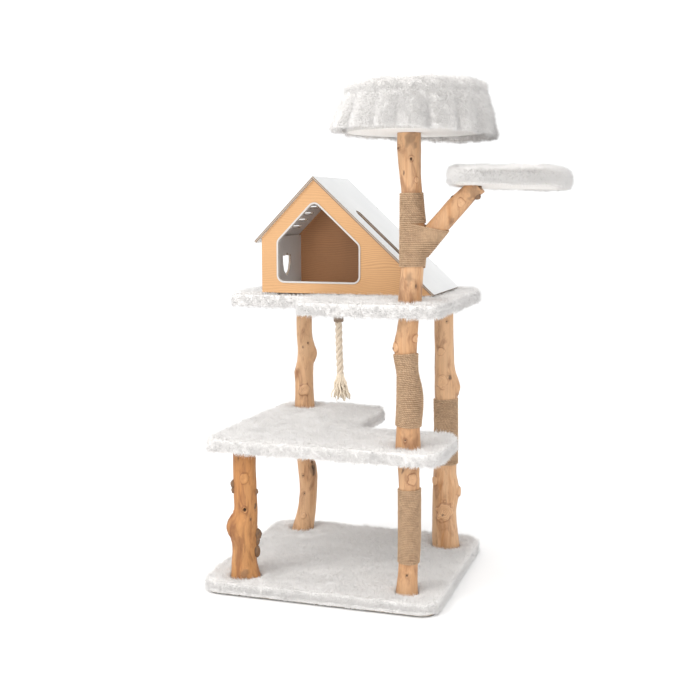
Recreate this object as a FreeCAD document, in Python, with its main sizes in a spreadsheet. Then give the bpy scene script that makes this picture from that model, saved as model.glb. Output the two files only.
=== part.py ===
"""Parametric model of a cat tree: three plush boards, natural wood posts, a house, a round nest,
a small perch and a hanging rope toy.  Millimetres, +Z up, origin under the middle of the base."""
import FreeCAD, Part
import math
import os

import Sketcher
from FreeCAD import Placement, Rotation, Vector

DOC = FreeCAD.newDocument("cat_tree")
SHEET = DOC.addObject("Spreadsheet::Sheet", "Sizes")
X_AXIS = Vector(1, 0, 0)
Y_AXIS = Vector(0, 1, 0)
Z_AXIS = Vector(0, 0, 1)

# ---------------------------------------------------------------- driving dimensions
DIMENSIONS = {
    # base
    "base_length": 600, "base_depth": 560, "base_height": 38, "base_corner": 50,
    "liner_thickness": 2, "base_board_thickness": 18,
    # middle and upper boards
    "board_thickness": 15, "cover_padding": 11, "cover_rounding": 12, "board_inset": 12,
    "middle_height": 350, "middle_left": 295, "middle_right": 300, "middle_front": 275, "middle_back": 290,
    "middle_cut_x": 30, "middle_back_left": 275, "middle_cut_y": -20, "middle_corner": 50,
    "upper_height": 686, "upper_left": 301, "upper_right": 293, "upper_front": 272, "upper_back": 280,
    "upper_notch_x": -60, "upper_notch_y": -92, "upper_corner": 42, "inner_corner": 34,
    # where the posts stand
    "left_x": -202, "right_x": 212, "front_y": -206, "back_left_y": 210, "back_right_y": 178,
    "post_radius": 26, "wrap_thickness": 4,
    # fastenings
    "bolt_radius": 4, "bolt_head_radius": 7, "bolt_head_height": 5, "bolt_reach": 30,
    "washer_radius": 12, "washer_thickness": 2,
    "insert_radius": 6, "insert_length": 25, "insert_hole_depth": 40,
    "screw_radius": 1.75, "screw_head_radius": 3.5, "screw_length": 28,
    # house
    "house_left": -202, "house_front": -80, "house_depth": 275,
    "house_ridge_x": -65, "house_ridge_height": 286,
    "left_slope": 1.025, "right_slope": 0.925, "left_eave_x": -220, "front_panel_thickness": 9,
    "panel_thickness": 6, "house_floor_thickness": 8, "door_border": 40, "door_sill": 25, "door_right": 55,
    "door_corner": 19, "trim_width": 4, "trim_proud": 2,
    "vent_length": 66, "vent_width": 9, "vent_pitch": 23.5, "slot_width": 32, "slot_length": 174,
    "slot_from_ridge": 123, "slot_from_front": 52,
    "window_width": 56, "window_height": 62,
    # nest
    "nest_height": 1100, "nest_board_radius": 153, "nest_board_thickness": 12, "nest_rim_radius": 158,
    "nest_rim_bore": 112, "nest_rim_height": 100, "nest_skirt_flare": 32,
    "nest_shift_x": 14, "nest_shift_y": 2, "nest_skirt_thickness": 6,
    "nest_cushion_thickness": 34,
    # perch
    "perch_length": 262, "perch_depth": 250, "perch_thickness": 40, "perch_corner": 84,
    "perch_board_thickness": 12, "perch_x": 434, "perch_y": -200, "perch_height": 980,
    # rope toy
    "rope_x": -14, "rope_y": -40, "rope_radius": 8.7, "cap_radius": 12.4, "cap_height": 18,
    "eye_radius": 4.5, "eye_wire": 1.2, "ring_radius": 6, "ring_wire": 0.9,
    "tassel_radius": 21, "tassel_length": 70,
}


def fill_sheet():
    """Write one driving dimension per row: its name, and its value under an alias of that name."""
    for row, (alias, value) in enumerate(DIMENSIONS.items(), start=1):
        SHEET.set(f"A{row}", alias)
        SHEET.set(f"B{row}", str(value))
        SHEET.setAlias(f"B{row}", alias)
    DOC.recompute()


class Size:
    """A length that knows both its spreadsheet formula and its present value."""

    def __init__(self, text, number):
        self.text = text
        self.number = number

    def __add__(self, other):
        other = as_size(other)
        return Size(f"({self.text} + {other.text})", self.number + other.number)

    def __sub__(self, other):
        other = as_size(other)
        return Size(f"({self.text} - {other.text})", self.number - other.number)

    def __mul__(self, other):
        other = as_size(other)
        return Size(f"({self.text} * {other.text})", self.number * other.number)

    def __truediv__(self, other):
        other = as_size(other)
        return Size(f"({self.text} / {other.text})", self.number / other.number)

    def __neg__(self):
        return Size(f"(-{self.text})", -self.number)

    def root(self):
        """Square root."""
        return Size(f"sqrt({self.text})", math.sqrt(self.number))


def as_size(value):
    return value if isinstance(value, Size) else Size(repr(value), value)


def size(alias):
    """The named cell of the sheet."""
    return Size(f"Sizes.{alias}", float(SHEET.get(alias)))


def number(alias):
    return size(alias).number


def bind(item, path, value):
    """Tie one property of a document object to a formula of the sheet."""
    item.setExpression(path, as_size(value).text)


# ---------------------------------------------------------------- small modelling vocabulary
def new_body(name, x=0, y=0, z=0):
    body = DOC.addObject("PartDesign::Body", name)
    for axis, value in (("x", x), ("y", y), ("z", z)):
        bind(body, f"Placement.Base.{axis}", value)
    return body


def new_sketch(body, name, role="XY_Plane", offset=0, turn=None):
    """An empty sketch on one of the body's origin planes, moved along the plane's normal."""
    plane = [item for item in body.Origin.OriginFeatures if item.Role == role][0]
    sketch = body.newObject("Sketcher::SketchObject", name)
    sketch.AttachmentSupport = (plane, [""])
    sketch.MapMode = "FlatFace"
    if turn is not None:
        sketch.AttachmentOffset = Placement(Vector(), turn)
    bind(sketch, "AttachmentOffset.Base.z", offset)
    return sketch


def tie_point(sketch, geometry, corner, x, y, label):
    """Dimension one point from the sketch's origin."""
    for kind, value in (("DistanceX", x), ("DistanceY", y)):
        value = as_size(value)
        index = sketch.addConstraint(Sketcher.Constraint(kind, -1, 1, geometry, corner, value.number))
        sketch.renameConstraint(index, f"{label}_{kind[-1].lower()}")
        sketch.setExpression(f"Constraints[{index}]", value.text)


def draw_outline(sketch, corners):
    """A closed outline of straight lines through the given corners."""
    corners = [(as_size(x), as_size(y)) for x, y in corners]
    points = [Vector(x.number, y.number, 0) for x, y in corners]
    for index, start in enumerate(points):
        end = points[(index + 1) % len(points)]
        sketch.addGeometry(Part.LineSegment(start, end), False)
    for index in range(len(points)):
        following = (index + 1) % len(points)
        sketch.addConstraint(Sketcher.Constraint("Coincident", index, 2, following, 1))
    for index, (x, y) in enumerate(corners):
        tie_point(sketch, index, 1, x, y, f"corner{index}")


def draw_circle(sketch, x, y, radius):
    x, y, radius = as_size(x), as_size(y), as_size(radius)
    circle = sketch.addGeometry(Part.Circle(Vector(x.number, y.number, 0), Z_AXIS, radius.number), False)
    tie_point(sketch, circle, 3, x, y, "centre")
    index = sketch.addConstraint(Sketcher.Constraint("Radius", circle, radius.number))
    sketch.setExpression(f"Constraints[{index}]", radius.text)


def pad(body, sketch, length, reverse=False):
    feature = body.newObject("PartDesign::Pad", f"{sketch.Name}_pad")
    feature.Profile = sketch
    feature.Reversed = reverse
    bind(feature, "Length", length)
    sketch.Visibility = False
    return feature


def pocket(body, sketch, depth, reverse=False):
    """Cut a pocket, and stop if it removed nothing."""
    DOC.recompute()
    before = body.Shape.Volume
    feature = body.newObject("PartDesign::Pocket", f"{sketch.Name}_pocket")
    feature.Profile = sketch
    feature.Reversed = reverse
    bind(feature, "Length", depth)
    DOC.recompute()
    if body.Shape.Volume > before - 1:
        raise RuntimeError(f"{feature.Name} cuts nothing")
    return feature


def round_edges(body, radius, chosen):
    """Fillet the edges of the tip that the test picks out."""
    DOC.recompute()
    tip = body.Tip
    names = [f"Edge{i}" for i, edge in enumerate(tip.Shape.Edges, start=1) if chosen(edge)]
    if not names:
        raise RuntimeError(f"{body.Name} has no such edges")
    feature = body.newObject("PartDesign::Fillet", f"{body.Name}_rounding{len(body.Group)}")
    feature.Base = (tip, names)
    bind(feature, "Radius", radius)
    DOC.recompute()
    return feature


def runs_along(edge, axis):
    """True for a straight edge along the axis."""
    if not isinstance(edge.Curve, Part.Line):
        return False
    return abs(edge.Curve.Direction.dot(axis)) > 0.999


def upright_near(x, y, reach=3):
    """A test for the upright edge at a corner of an outline."""
    def chosen(edge):
        middle = edge.CenterOfMass
        return runs_along(edge, Z_AXIS) and abs(middle.x - x) < reach and abs(middle.y - y) < reach
    return chosen


def fuse(name, pieces):
    joined = DOC.addObject("Part::MultiFuse", name)
    joined.Shapes = pieces
    return joined


def cut(name, base, tools):
    """The base with every tool taken out of it."""
    piece = DOC.addObject("Part::Cut", name)
    piece.Base = base
    piece.Tool = tools[0] if len(tools) == 1 else fuse(f"{name}_tools", tools)
    DOC.recompute()
    if piece.Shape.Volume > base.Shape.Volume - 1:
        raise RuntimeError(f"{name} lost nothing")
    return piece


def revolve_profile(points):
    """Solid of revolution about Z of a closed profile given as (radius, height) pairs."""
    corners = [Vector(radius, 0, height) for radius, height in points]
    face = Part.Face(Part.makePolygon(corners + corners[:1]))
    return face.revolve(Vector(), Z_AXIS, 360)


def plain_feature(name, shape, placement=None):
    feature = DOC.addObject("Part::Feature", name)
    feature.Shape = shape
    if placement is not None:
        feature.Placement = placement
    return feature


def copies(name, shape, placements):
    """Identical separate solids as one sub-part."""
    solids = []
    for placement in placements:
        solid = shape.copy()
        solid.Placement = placement
        solids.append(solid)
    return plain_feature(name, Part.makeCompound(solids))


# ---------------------------------------------------------------- heights shared by several sub-parts
fill_sheet()
BASE_FLOOR = size("liner_thickness") + size("base_board_thickness")
MIDDLE_UNDERSIDE = size("middle_height") + size("cover_padding")
MIDDLE_FLOOR = MIDDLE_UNDERSIDE + size("board_thickness")
MIDDLE_TOP = MIDDLE_FLOOR + size("cover_padding") + 1
UPPER_UNDERSIDE = size("upper_height") + size("cover_padding")
UPPER_FLOOR = UPPER_UNDERSIDE + size("board_thickness")
UPPER_TOP = UPPER_FLOOR + size("cover_padding") + 1

# ---------------------------------------------------------------- natural wood posts
# Each section of a trunk: height, sideways shift, shift to the back, and girth as a share of the
# common post radius.
FRONT_LEFT = [(20, 0, 0, 1.46), (62, -4, 1, 1.22), (92, -3, 2, 1.15), (130, -3, 2, 1.24), (157, -5, 1, 1.33),
              (192, 3, -1, 1.09), (240, 2, -2, 1.09), (300, 0, 0, 1.07), (361, 0, 2, 1.06)]
BACK_LEFT_LOWER = [(20, -4, 0, 1.19), (68, 7, -2, 1.04), (105, 13, -3, 0.95), (150, 16, -2, 0.94),
                   (200, 13, 1, 1.02), (245, 5, 2, 0.88), (305, 2, 1, 0.9), (361, 5, 0, 0.96)]
BACK_LEFT_UPPER = [(376, 5, 0, 1.08), (436, 4, 2, 0.97), (500, 6, 3, 0.9), (536, 11, 1, 0.96),
                   (582, 7, -2, 0.83), (640, 6, -2, 0.8), (697, 6, 0, 0.81)]
FRONT_RIGHT_LOWER = [(20, -3, 4, 1.04), (90, -1, 5, 0.88), (170, 2, 3, 0.9), (290, 1, 2, 0.93),
                     (361, -3, 4, 1.0)]
FRONT_RIGHT_MIDDLE = [(376, -3, 4, 1.14), (424, -3, 3, 1.04), (480, 1, 1, 1.08), (515, 0, 2, 1.04),
                      (560, -6, 4, 0.87), (614, -11, 5, 1.03), (650, -7, 4, 0.94), (697, -2, 4, 0.88)]
FORKED_TRUNK = [(712, -2, 4, 1.04), (790, 3, 4, 1.01), (850, 6, 4, 1.1), (905, 4, 3, 1.02), (965, 1, 3, 0.9),
                (1010, -3, 4, 0.94), (1060, -6, 5, 1.03), (1100, -6, 5, 1.02)]
BACK_RIGHT = [(20, 7, 0, 1.44), (66, 3, 1, 1.33), (125, 0, 2, 1.25), (182, 4, 2, 1.36), (228, 1, 1, 1.2),
              (275, 3, -1, 1.13), (348, 3, -2, 1.1), (430, 1, -1, 1.12), (470, 1, 1, 1.18),
              (522, -4, 1, 1.01),
              (610, -6, 0, 0.97), (697, -8, -1, 0.95)]
# The branch leaves the trunk at half height and carries the perch: place, girth share.
BRANCH = [((20, 4, 842), 0.98), ((64, 4, 892), 0.85), ((104, 5, 938), 0.86), ((134, 5, 968), 0.78)]
BRANCH_TOP = (151, 5)
BRANCH_TOP_GIRTH = 0.88
BRANCH_LEAN = 40
PERCH_TURN = Rotation(Y_AXIS, 1.2).multiply(Rotation(X_AXIS, -2.5))


def add_section(body, label, height, sideways, back, girth, extra=0):
    sketch = new_sketch(body, f"{body.Name}_{label}", offset=height)
    draw_circle(sketch, sideways, back, size("post_radius") * girth + extra)
    return sketch


def add_loft(body, name, sketches):
    loft = body.newObject("PartDesign::AdditiveLoft", name)
    loft.Profile = sketches[0]
    loft.Sections = sketches[1:]
    loft.Ruled = True
    DOC.recompute()
    return loft


def drill_end(body, label, height, sideways, back, upwards):
    """The hole for a threaded insert in one end of a post."""
    sketch = new_sketch(body, f"{body.Name}_{label}", offset=height)
    draw_circle(sketch, sideways, back, size("insert_radius"))
    pocket(body, sketch, size("insert_hole_depth"), reverse=upwards)


def make_trunk(name, x, y, sections):
    """A bent, tapering post of natural wood with a drilled hole in each end."""
    body = new_body(name, x, y)
    sketches = [add_section(body, f"section{i}", *section) for i, section in enumerate(sections)]
    add_loft(body, f"{name}_wood", sketches)
    for label, section, upwards in (("foot", sections[0], True), ("head", sections[-1], False)):
        height, sideways, back, _ = section
        drill_end(body, label, height, sideways, back, upwards)
    return body


def section_at(sections, height):
    """Shift and girth of a trunk at any height, between its two nearest sections."""
    for low, high in zip(sections, sections[1:]):
        if low[0] <= height <= high[0]:
            share = (height - low[0]) / (high[0] - low[0])
            return tuple(a + (b - a) * share for a, b in zip(low, high))
    raise ValueError("height is off the trunk")


def make_wrap(name, post, x, y, sections, bottom, top):
    """A sleeve of sisal cord wound tightly round one stretch of a post."""
    inner = [section for section in sections if bottom + 8 < section[0] < top - 8]
    stretch = [section_at(sections, bottom)] + inner + [section_at(sections, top)]
    body = new_body(f"{name}_core", x, y)
    sketches = [add_section(body, f"section{i}", *section, extra=size("wrap_thickness"))
                for i, section in enumerate(stretch)]
    add_loft(body, f"{name}_sleeve", sketches)
    return body if post is None else cut(name, body, [post])


def branch_sections(body, label, sections, extra=0):
    """Circles square to the branch, leaning outwards."""
    sketches = []
    for index, ((across, back, height), girth) in enumerate(sections):
        sketch = new_sketch(body, f"{body.Name}_{label}{index}", turn=Rotation(Y_AXIS, BRANCH_LEAN))
        sketch.setExpression("AttachmentOffset.Base.z", None)
        sketch.AttachmentOffset = Placement(Vector(across, back, height), Rotation(Y_AXIS, BRANCH_LEAN))
        draw_circle(sketch, 0, 0, size("post_radius") * girth + extra)
        sketches.append(sketch)
    return sketches


def make_forked_post(x, y):
    """The top post: a trunk under the nest, with one branch under the perch."""
    body = make_trunk("forked_post", x, y, FORKED_TRUNK)
    sketches = branch_sections(body, "branch", BRANCH)
    seat = new_sketch(body, "forked_post_seat")
    seat.setExpression("AttachmentOffset.Base.z", None)
    across, back = BRANCH_TOP
    seat.AttachmentOffset = Placement(Vector(across, back, perch_underside_at(x.number + across)), PERCH_TURN)
    draw_circle(seat, 0, 0, size("post_radius") * BRANCH_TOP_GIRTH)
    add_loft(body, "forked_post_branch", sketches + [seat])
    return body


def perch_underside_at(x):
    """Height of the tilted perch's underside over a place on the branch's own line."""
    normal = PERCH_TURN.multVec(Z_AXIS)
    return number("perch_height") - normal.x / normal.z * (x - number("perch_x"))


def make_fork_wrap(post, x, y):
    """The sisal sleeve round the fork: a stretch of trunk joined to the foot of the branch."""
    trunk_sleeve = make_wrap("fork_trunk", None, x, y, FORKED_TRUNK, 798, 966)
    branch_sleeve = new_body("fork_branch_core", x, y)
    sketches = branch_sections(branch_sleeve, "section", BRANCH[:2], extra=size("wrap_thickness"))
    add_loft(branch_sleeve, "fork_branch_sleeve", sketches)
    core = fuse("fork_wrap_core", [trunk_sleeve, branch_sleeve])
    DOC.recompute()
    return cut("fork_wrap", core, [post])


LEFT, RIGHT = size("left_x"), size("right_x")
FRONT, BACK_LEFT, BACK_RIGHT_Y = size("front_y"), size("back_left_y"), size("back_right_y")
TRUNKS = {
    "front_left_post": (LEFT, FRONT, FRONT_LEFT),
    "back_left_lower_post": (LEFT, BACK_LEFT, BACK_LEFT_LOWER),
    "back_left_upper_post": (LEFT, BACK_LEFT, BACK_LEFT_UPPER),
    "front_right_lower_post": (RIGHT, FRONT, FRONT_RIGHT_LOWER),
    "front_right_middle_post": (RIGHT, FRONT, FRONT_RIGHT_MIDDLE),
    "back_right_post": (RIGHT, BACK_RIGHT_Y, BACK_RIGHT),
}
POSTS = {name: make_trunk(name, *place) for name, place in TRUNKS.items()}
POSTS["forked_post"] = make_forked_post(RIGHT, FRONT)
TRUNKS["forked_post"] = (RIGHT, FRONT, FORKED_TRUNK)
WRAPS = [
    make_wrap("front_right_lower_wrap", POSTS["front_right_lower_post"],
              *TRUNKS["front_right_lower_post"], 105, 287),
    make_wrap("front_right_middle_wrap", POSTS["front_right_middle_post"], *TRUNKS["front_right_middle_post"],
              432, 603),
    make_wrap("back_right_wrap", POSTS["back_right_post"], *TRUNKS["back_right_post"], 258, 436),
    make_fork_wrap(POSTS["forked_post"], RIGHT, FRONT),
]


# ---------------------------------------------------------------- bolts, studs, washers and inserts
def post_end(name, top):
    """Centre of a post's end face."""
    x, y, sections = TRUNKS[name]
    height, sideways, back, _ = sections[-1 if top else 0]
    return Vector(x.number + sideways, y.number + back, height)


def hexagon(radius, height):
    corners = [Vector(radius * math.cos(math.radians(60 * i)), radius * math.sin(math.radians(60 * i)), 0)
               for i in range(7)]
    return Part.Face(Part.makePolygon(corners)).extrude(Vector(0, 0, height))


def make_fastenings():
    """Bolts through the boards into the post ends, studs where a post stands on another."""
    bolt_radius, reach = number("bolt_radius"), number("bolt_reach")
    head_radius, head_height = number("bolt_head_radius"), number("bolt_head_height")
    washer_radius, washer = number("washer_radius"), number("washer_thickness")
    nest_board = number("nest_board_thickness")
    board = number("board_thickness")
    from_below = {name: number("base_board_thickness") for name in
                  ("front_left_post", "back_left_lower_post", "front_right_lower_post", "back_right_post")}
    from_above = {"front_left_post": board, "back_left_upper_post": board, "back_right_post": board,
                  "forked_post": nest_board}
    bolts, washers = [], []
    for names, top, sense in ((from_below, False, -1), (from_above, True, 1)):
        for name, thickness in names.items():
            end = post_end(name, top)
            face = Placement(end, Rotation() if sense > 0 else Rotation(X_AXIS, 180))
            seat = thickness - head_height - washer if not top else thickness
            shank = Part.makeCylinder(bolt_radius, reach + seat + washer, Vector(0, 0, -reach))
            head = hexagon(head_radius, head_height)
            head.translate(Vector(0, 0, seat + washer))
            bolt = shank.fuse(head).removeSplitter()
            bolt.Placement = face
            ring = Part.makeCylinder(washer_radius, washer, Vector(0, 0, seat)).cut(
                Part.makeCylinder(bolt_radius, washer, Vector(0, 0, seat)))
            ring.Placement = face
            bolts.append(bolt)
            washers.append(ring)
    studs = []
    for name in ("back_left_upper_post", "front_right_middle_post", "forked_post"):
        end = post_end(name, False)
        stud = Part.makeCylinder(bolt_radius, 2 * reach + board, Vector(end.x, end.y, end.z - board - reach))
        studs.append(stud)
    return (plain_feature("post_bolts", Part.makeCompound(bolts)),
            plain_feature("post_washers", Part.makeCompound(washers)),
            plain_feature("post_studs", Part.makeCompound(studs)))


def make_inserts():
    """A threaded steel sleeve in every post end."""
    sleeve = Part.makeCylinder(number("insert_radius"), number("insert_length"))
    sleeve = sleeve.cut(Part.makeCylinder(number("bolt_radius"), number("insert_length")))
    places = []
    for name in TRUNKS:
        places.append(Placement(post_end(name, False), Rotation()))
        places.append(Placement(post_end(name, True) - Z_AXIS * number("insert_length"), Rotation()))
    return copies("post_inserts", sleeve, places)


def seat_for(name, top, depth):
    """The round hole that a post end presses through the plush, wide enough for the post's lean."""
    end = post_end(name, top)
    sections = TRUNKS[name][2]
    _, end_sideways, end_back, end_girth = sections[-1 if top else 0]
    _, sideways, back, girth = section_at(sections, end.z - depth if top else end.z + depth)
    lean = math.hypot(sideways - end_sideways, back - end_back)
    radius = max(number("post_radius") * end_girth, number("post_radius") * girth + lean) + SEAT_PLAY
    foot = Vector(end.x, end.y, end.z - depth if top else end.z)
    return plain_feature(f"{name}_{'head' if top else 'foot'}_seat", Part.makeCylinder(radius, depth, foot))


SEAT_PLAY = 0.8
BOLTS, WASHERS, STUDS = make_fastenings()
INSERTS = make_inserts()


# ---------------------------------------------------------------- boards and their plush covers
def box_outline(left, right, front, back):
    return [(left, front), (right, front), (right, back), (left, back)]


def middle_outline(inset=0):
    """The middle board leaves the back right quarter open, where the tall post passes."""
    left, right = -size("middle_left") + inset, size("middle_right") - inset
    front, back = -size("middle_front") + inset, size("middle_back") - inset
    cut_x, cut_y = size("middle_cut_x") - inset, size("middle_cut_y") - inset
    back_left = -size("middle_back_left") + inset
    return [(left, front), (right, front), (right, cut_y), (cut_x, cut_y), (cut_x, back), (back_left, back)]


def upper_outline(inset=0):
    """The upper board is cut back at its front left corner."""
    left, right = -size("upper_left") + inset, size("upper_right") - inset
    front, back = -size("upper_front") + inset, size("upper_back") - inset
    notch_x, notch_y = size("upper_notch_x") + inset, size("upper_notch_y") + inset
    return [(notch_x, front), (right, front), (right, back), (left, back),
            (left, notch_y), (notch_x, notch_y)]


def make_slab(name, corners, bottom, thickness, corner_radii):
    """A flat slab with its upright corners rounded, one radius per corner."""
    body = new_body(name)
    sketch = new_sketch(body, f"{name}_outline", offset=bottom)
    draw_outline(sketch, corners)
    pad(body, sketch, thickness)
    for radius in sorted({as_size(radius).text for radius in corner_radii}):
        places = [(as_size(x).number, as_size(y).number) for (x, y), own in zip(corners, corner_radii)
                  if as_size(own).text == radius]
        value = [as_size(own) for own in corner_radii if as_size(own).text == radius][0]
        round_edges(body, value, lambda edge: any(upright_near(x, y)(edge) for x, y in places))
    return body


def soften(body, faces_at, radius):
    """Round the outline edges that lie at the given heights."""
    def chosen(edge):
        box = edge.BoundBox
        return box.ZLength < 0.01 and any(abs(box.ZMin - height) < 0.01 for height in faces_at)
    round_edges(body, radius, chosen)


def make_platform(name, outline, radii, underside, top, board_bottom, board_thickness, through,
                  board_holes=()):
    """A board inside a plush cover.  The posts press through the plush onto the board."""
    board_radii = [as_size(radius) - size("board_inset") for radius in radii]
    blank = make_slab(f"{name}_board_blank", outline(size("board_inset")), board_bottom, board_thickness,
                      board_radii)
    board = cut(f"{name}_board", blank, [BOLTS, WASHERS, STUDS, *board_holes])
    skin = make_slab(f"{name}_cover_blank", outline(0), underside, top - underside, radii)
    soften(skin, [as_size(underside).number, as_size(top).number], size("cover_rounding"))
    cover = cut(f"{name}_cover", skin, [blank, BOLTS, WASHERS] + through)
    return board, cover


def base_outline(inset=0):
    half_length = size("base_length") / 2 - inset
    half_depth = size("base_depth") / 2 - inset
    return box_outline(-half_length, half_length, -half_depth, half_depth)


BASE_PADDING = number("base_height") - BASE_FLOOR.number
BASE_BOARD, BASE_COVER = make_platform(
    "base", base_outline, [size("base_corner")] * 4, size("liner_thickness"), size("base_height"),
    size("liner_thickness"), size("base_board_thickness"),
    [seat_for(name, False, BASE_PADDING)
     for name in ("front_left_post", "back_left_lower_post", "front_right_lower_post",
                                        "back_right_post")])
MIDDLE_BOARD, MIDDLE_COVER = make_platform(
    "middle", middle_outline, [size("middle_corner"), size("middle_corner"), size("inner_corner"),
                               size("middle_corner"), size("middle_corner"), size("middle_corner")],
    size("middle_height"), MIDDLE_TOP, MIDDLE_UNDERSIDE, size("board_thickness"),
    [seat_for(name, True, number("cover_padding"))
     for name in ("front_left_post", "back_left_lower_post", "front_right_lower_post")]
    + [seat_for(name, False, number("cover_padding") + 1)
       for name in ("back_left_upper_post", "front_right_middle_post")])
BASE_LINER = make_slab("base_liner", base_outline(size("board_inset")), 0, size("liner_thickness"),
                       [size("base_corner") - size("board_inset")] * 4)


# ---------------------------------------------------------------- house
RIDGE_X = size("house_ridge_x")
HOUSE_BACK = size("house_front") + size("house_depth")
RIDGE_HEIGHT = UPPER_TOP + size("house_ridge_height")
LEFT_LEAN = math.degrees(math.atan(number("left_slope")))
RIGHT_LEAN = math.degrees(math.atan(number("right_slope")))
ROOF_OVERHANG = 5


def roof_drop(slope):
    """How far a roof panel reaches down, measured upright through its thickness."""
    return size("panel_thickness") * (size(slope) * size(slope) + 1).root()


def under_left_roof(x):
    return RIDGE_HEIGHT - roof_drop("left_slope") - (RIDGE_X - x) * size("left_slope")


def under_right_roof(x):
    return RIDGE_HEIGHT - roof_drop("right_slope") - (as_size(x) - RIDGE_X) * size("right_slope")


def gable_outline():
    """The end panels: upright on the left, under both roof slopes, down to a point on the right."""
    left = size("house_left")
    foot = RIDGE_X + (RIDGE_HEIGHT - roof_drop("right_slope") - UPPER_TOP) / size("right_slope")
    return [(left, UPPER_TOP), (foot, UPPER_TOP),
            (RIDGE_X, under_left_roof(RIDGE_X)), (left, under_left_roof(left))]


def door_outline(inset=0):
    """The doorway follows the roof slopes at an even border."""
    border = size("door_border") + inset
    left = size("house_left") + border
    right = size("door_right") - inset
    sill = UPPER_TOP + size("door_sill") + inset
    left_border = border * (size("left_slope") * size("left_slope") + 1).root()
    right_border = border * (size("right_slope") * size("right_slope") + 1).root()
    peak_x = RIDGE_X + (left_border - right_border) / (size("left_slope") + size("right_slope"))
    left_shoulder = RIDGE_HEIGHT - left_border - (RIDGE_X - left) * size("left_slope")
    right_shoulder = RIDGE_HEIGHT - right_border - (right - RIDGE_X) * size("right_slope")
    peak = RIDGE_HEIGHT - right_border - (peak_x - RIDGE_X) * size("right_slope")
    return [(left, sill), (right, sill), (right, right_shoulder), (peak_x, peak), (left, left_shoulder)]


def make_gable(name, front):
    """One end panel, standing square to the house's depth."""
    body = new_body(name, y=front)
    sketch = new_sketch(body, f"{name}_outline", role="XZ_Plane")
    draw_outline(sketch, gable_outline())
    pad(body, sketch, size("front_panel_thickness"), reverse=True)
    return body


def cut_doorway(body):
    """The doorway, with its five corners rounded."""
    sketch = new_sketch(body, "doorway", role="XZ_Plane")
    draw_outline(sketch, door_outline())
    pocket(body, sketch, size("front_panel_thickness"))
    corners = [Vector(x.number, 0, z.number) for x, z in door_outline()]

    def chosen(edge):
        middle = edge.CenterOfMass
        return runs_along(edge, Y_AXIS) and any(
            abs(middle.x - corner.x) < 1 and abs(middle.z - corner.z) < 1 for corner in corners)
    round_edges(body, size("door_corner"), chosen)
    return body


def door_plug(name, inset, corner):
    """The doorway as a solid, to line it and to hollow out the lining."""
    body = new_body(name, y=size("house_front") - size("trim_proud"))
    sketch = new_sketch(body, f"{name}_outline", role="XZ_Plane")
    draw_outline(sketch, door_outline(inset))
    pad(body, sketch, size("front_panel_thickness") + size("trim_proud") * 1.5, reverse=True)
    round_edges(body, corner, lambda edge: runs_along(edge, Y_AXIS))
    return body


def make_door_trim():
    """A white edging that lines the doorway and stands a little proud of the panel."""
    outer = door_plug("trim_outer", 0, size("door_corner"))
    inner = door_plug("trim_inner", size("trim_width"), size("door_corner") - size("trim_width"))
    return cut("doorway_trim", outer, [inner])


def make_side_wall():
    """The left wall, with a shield-shaped window."""
    body = new_body("house_left_wall_blank", size("house_left"), size("house_front"))
    back = size("house_depth") - size("front_panel_thickness")
    sketch = new_sketch(body, "side_wall", role="YZ_Plane")
    top = under_left_roof(size("house_left")) - 0.1
    draw_outline(sketch, [(size("front_panel_thickness"), UPPER_TOP), (back, UPPER_TOP), (back, top),
                          (size("front_panel_thickness"), top)])
    pad(body, sketch, size("panel_thickness"))
    middle = size("house_depth") / 2 + 21
    half = size("window_width") / 2
    foot = UPPER_TOP + 32
    window = new_sketch(body, "side_window", role="YZ_Plane")
    draw_outline(window, [(middle, foot), (middle + half * 0.72, foot + 14), (middle + half, foot + 34),
                          (middle + half, foot + 55), (middle + half * 0.4, foot + 53),
                          (middle, foot + size("window_height")), (middle - half * 0.4, foot + 53),
                          (middle - half, foot + 55), (middle - half, foot + 34),
                          (middle - half * 0.72, foot + 14)])
    pocket(body, window, size("panel_thickness"), reverse=True)
    return body


def make_roof_panel(name, length, lean, turn):
    """A flat panel laid from the ridge down its slope: local +X runs down the slope."""
    body = new_body(name)
    sketch = new_sketch(body, f"{name}_outline", offset=-size("panel_thickness"))
    draw_outline(sketch, box_outline(0, length, 0, size("house_depth") + ROOF_OVERHANG))
    pad(body, sketch, size("panel_thickness"))
    for axis in "xyz":
        body.setExpression(f"Placement.Base.{axis}", None)
    ridge = Vector(RIDGE_X.number, number("house_front") - ROOF_OVERHANG, RIDGE_HEIGHT.number)
    body.Placement = Placement(ridge, turn.multiply(Rotation(Y_AXIS, lean)))
    return body


def make_right_roof():
    """The long slope, from the ridge to the board, with a paw slot in it."""
    factor = (size("right_slope") * size("right_slope") + 1).root()
    drop = size("house_ridge_height") - size("panel_thickness") / factor
    length = drop / size("right_slope") * factor
    body = make_roof_panel("house_right_roof_blank", length, RIGHT_LEAN, Rotation())
    slot = new_sketch(body, "paw_slot")
    start, front = size("slot_from_ridge"), size("slot_from_front")
    draw_outline(slot, box_outline(start, start + size("slot_length"), front, front + size("slot_width")))
    pocket(body, slot, size("panel_thickness"))
    round_edges(body, size("slot_width") / 2 - 0.5, lambda edge: runs_along(edge, Z_AXIS)
                and 20 < edge.CenterOfMass.x < length.number - 20)
    return body


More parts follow.
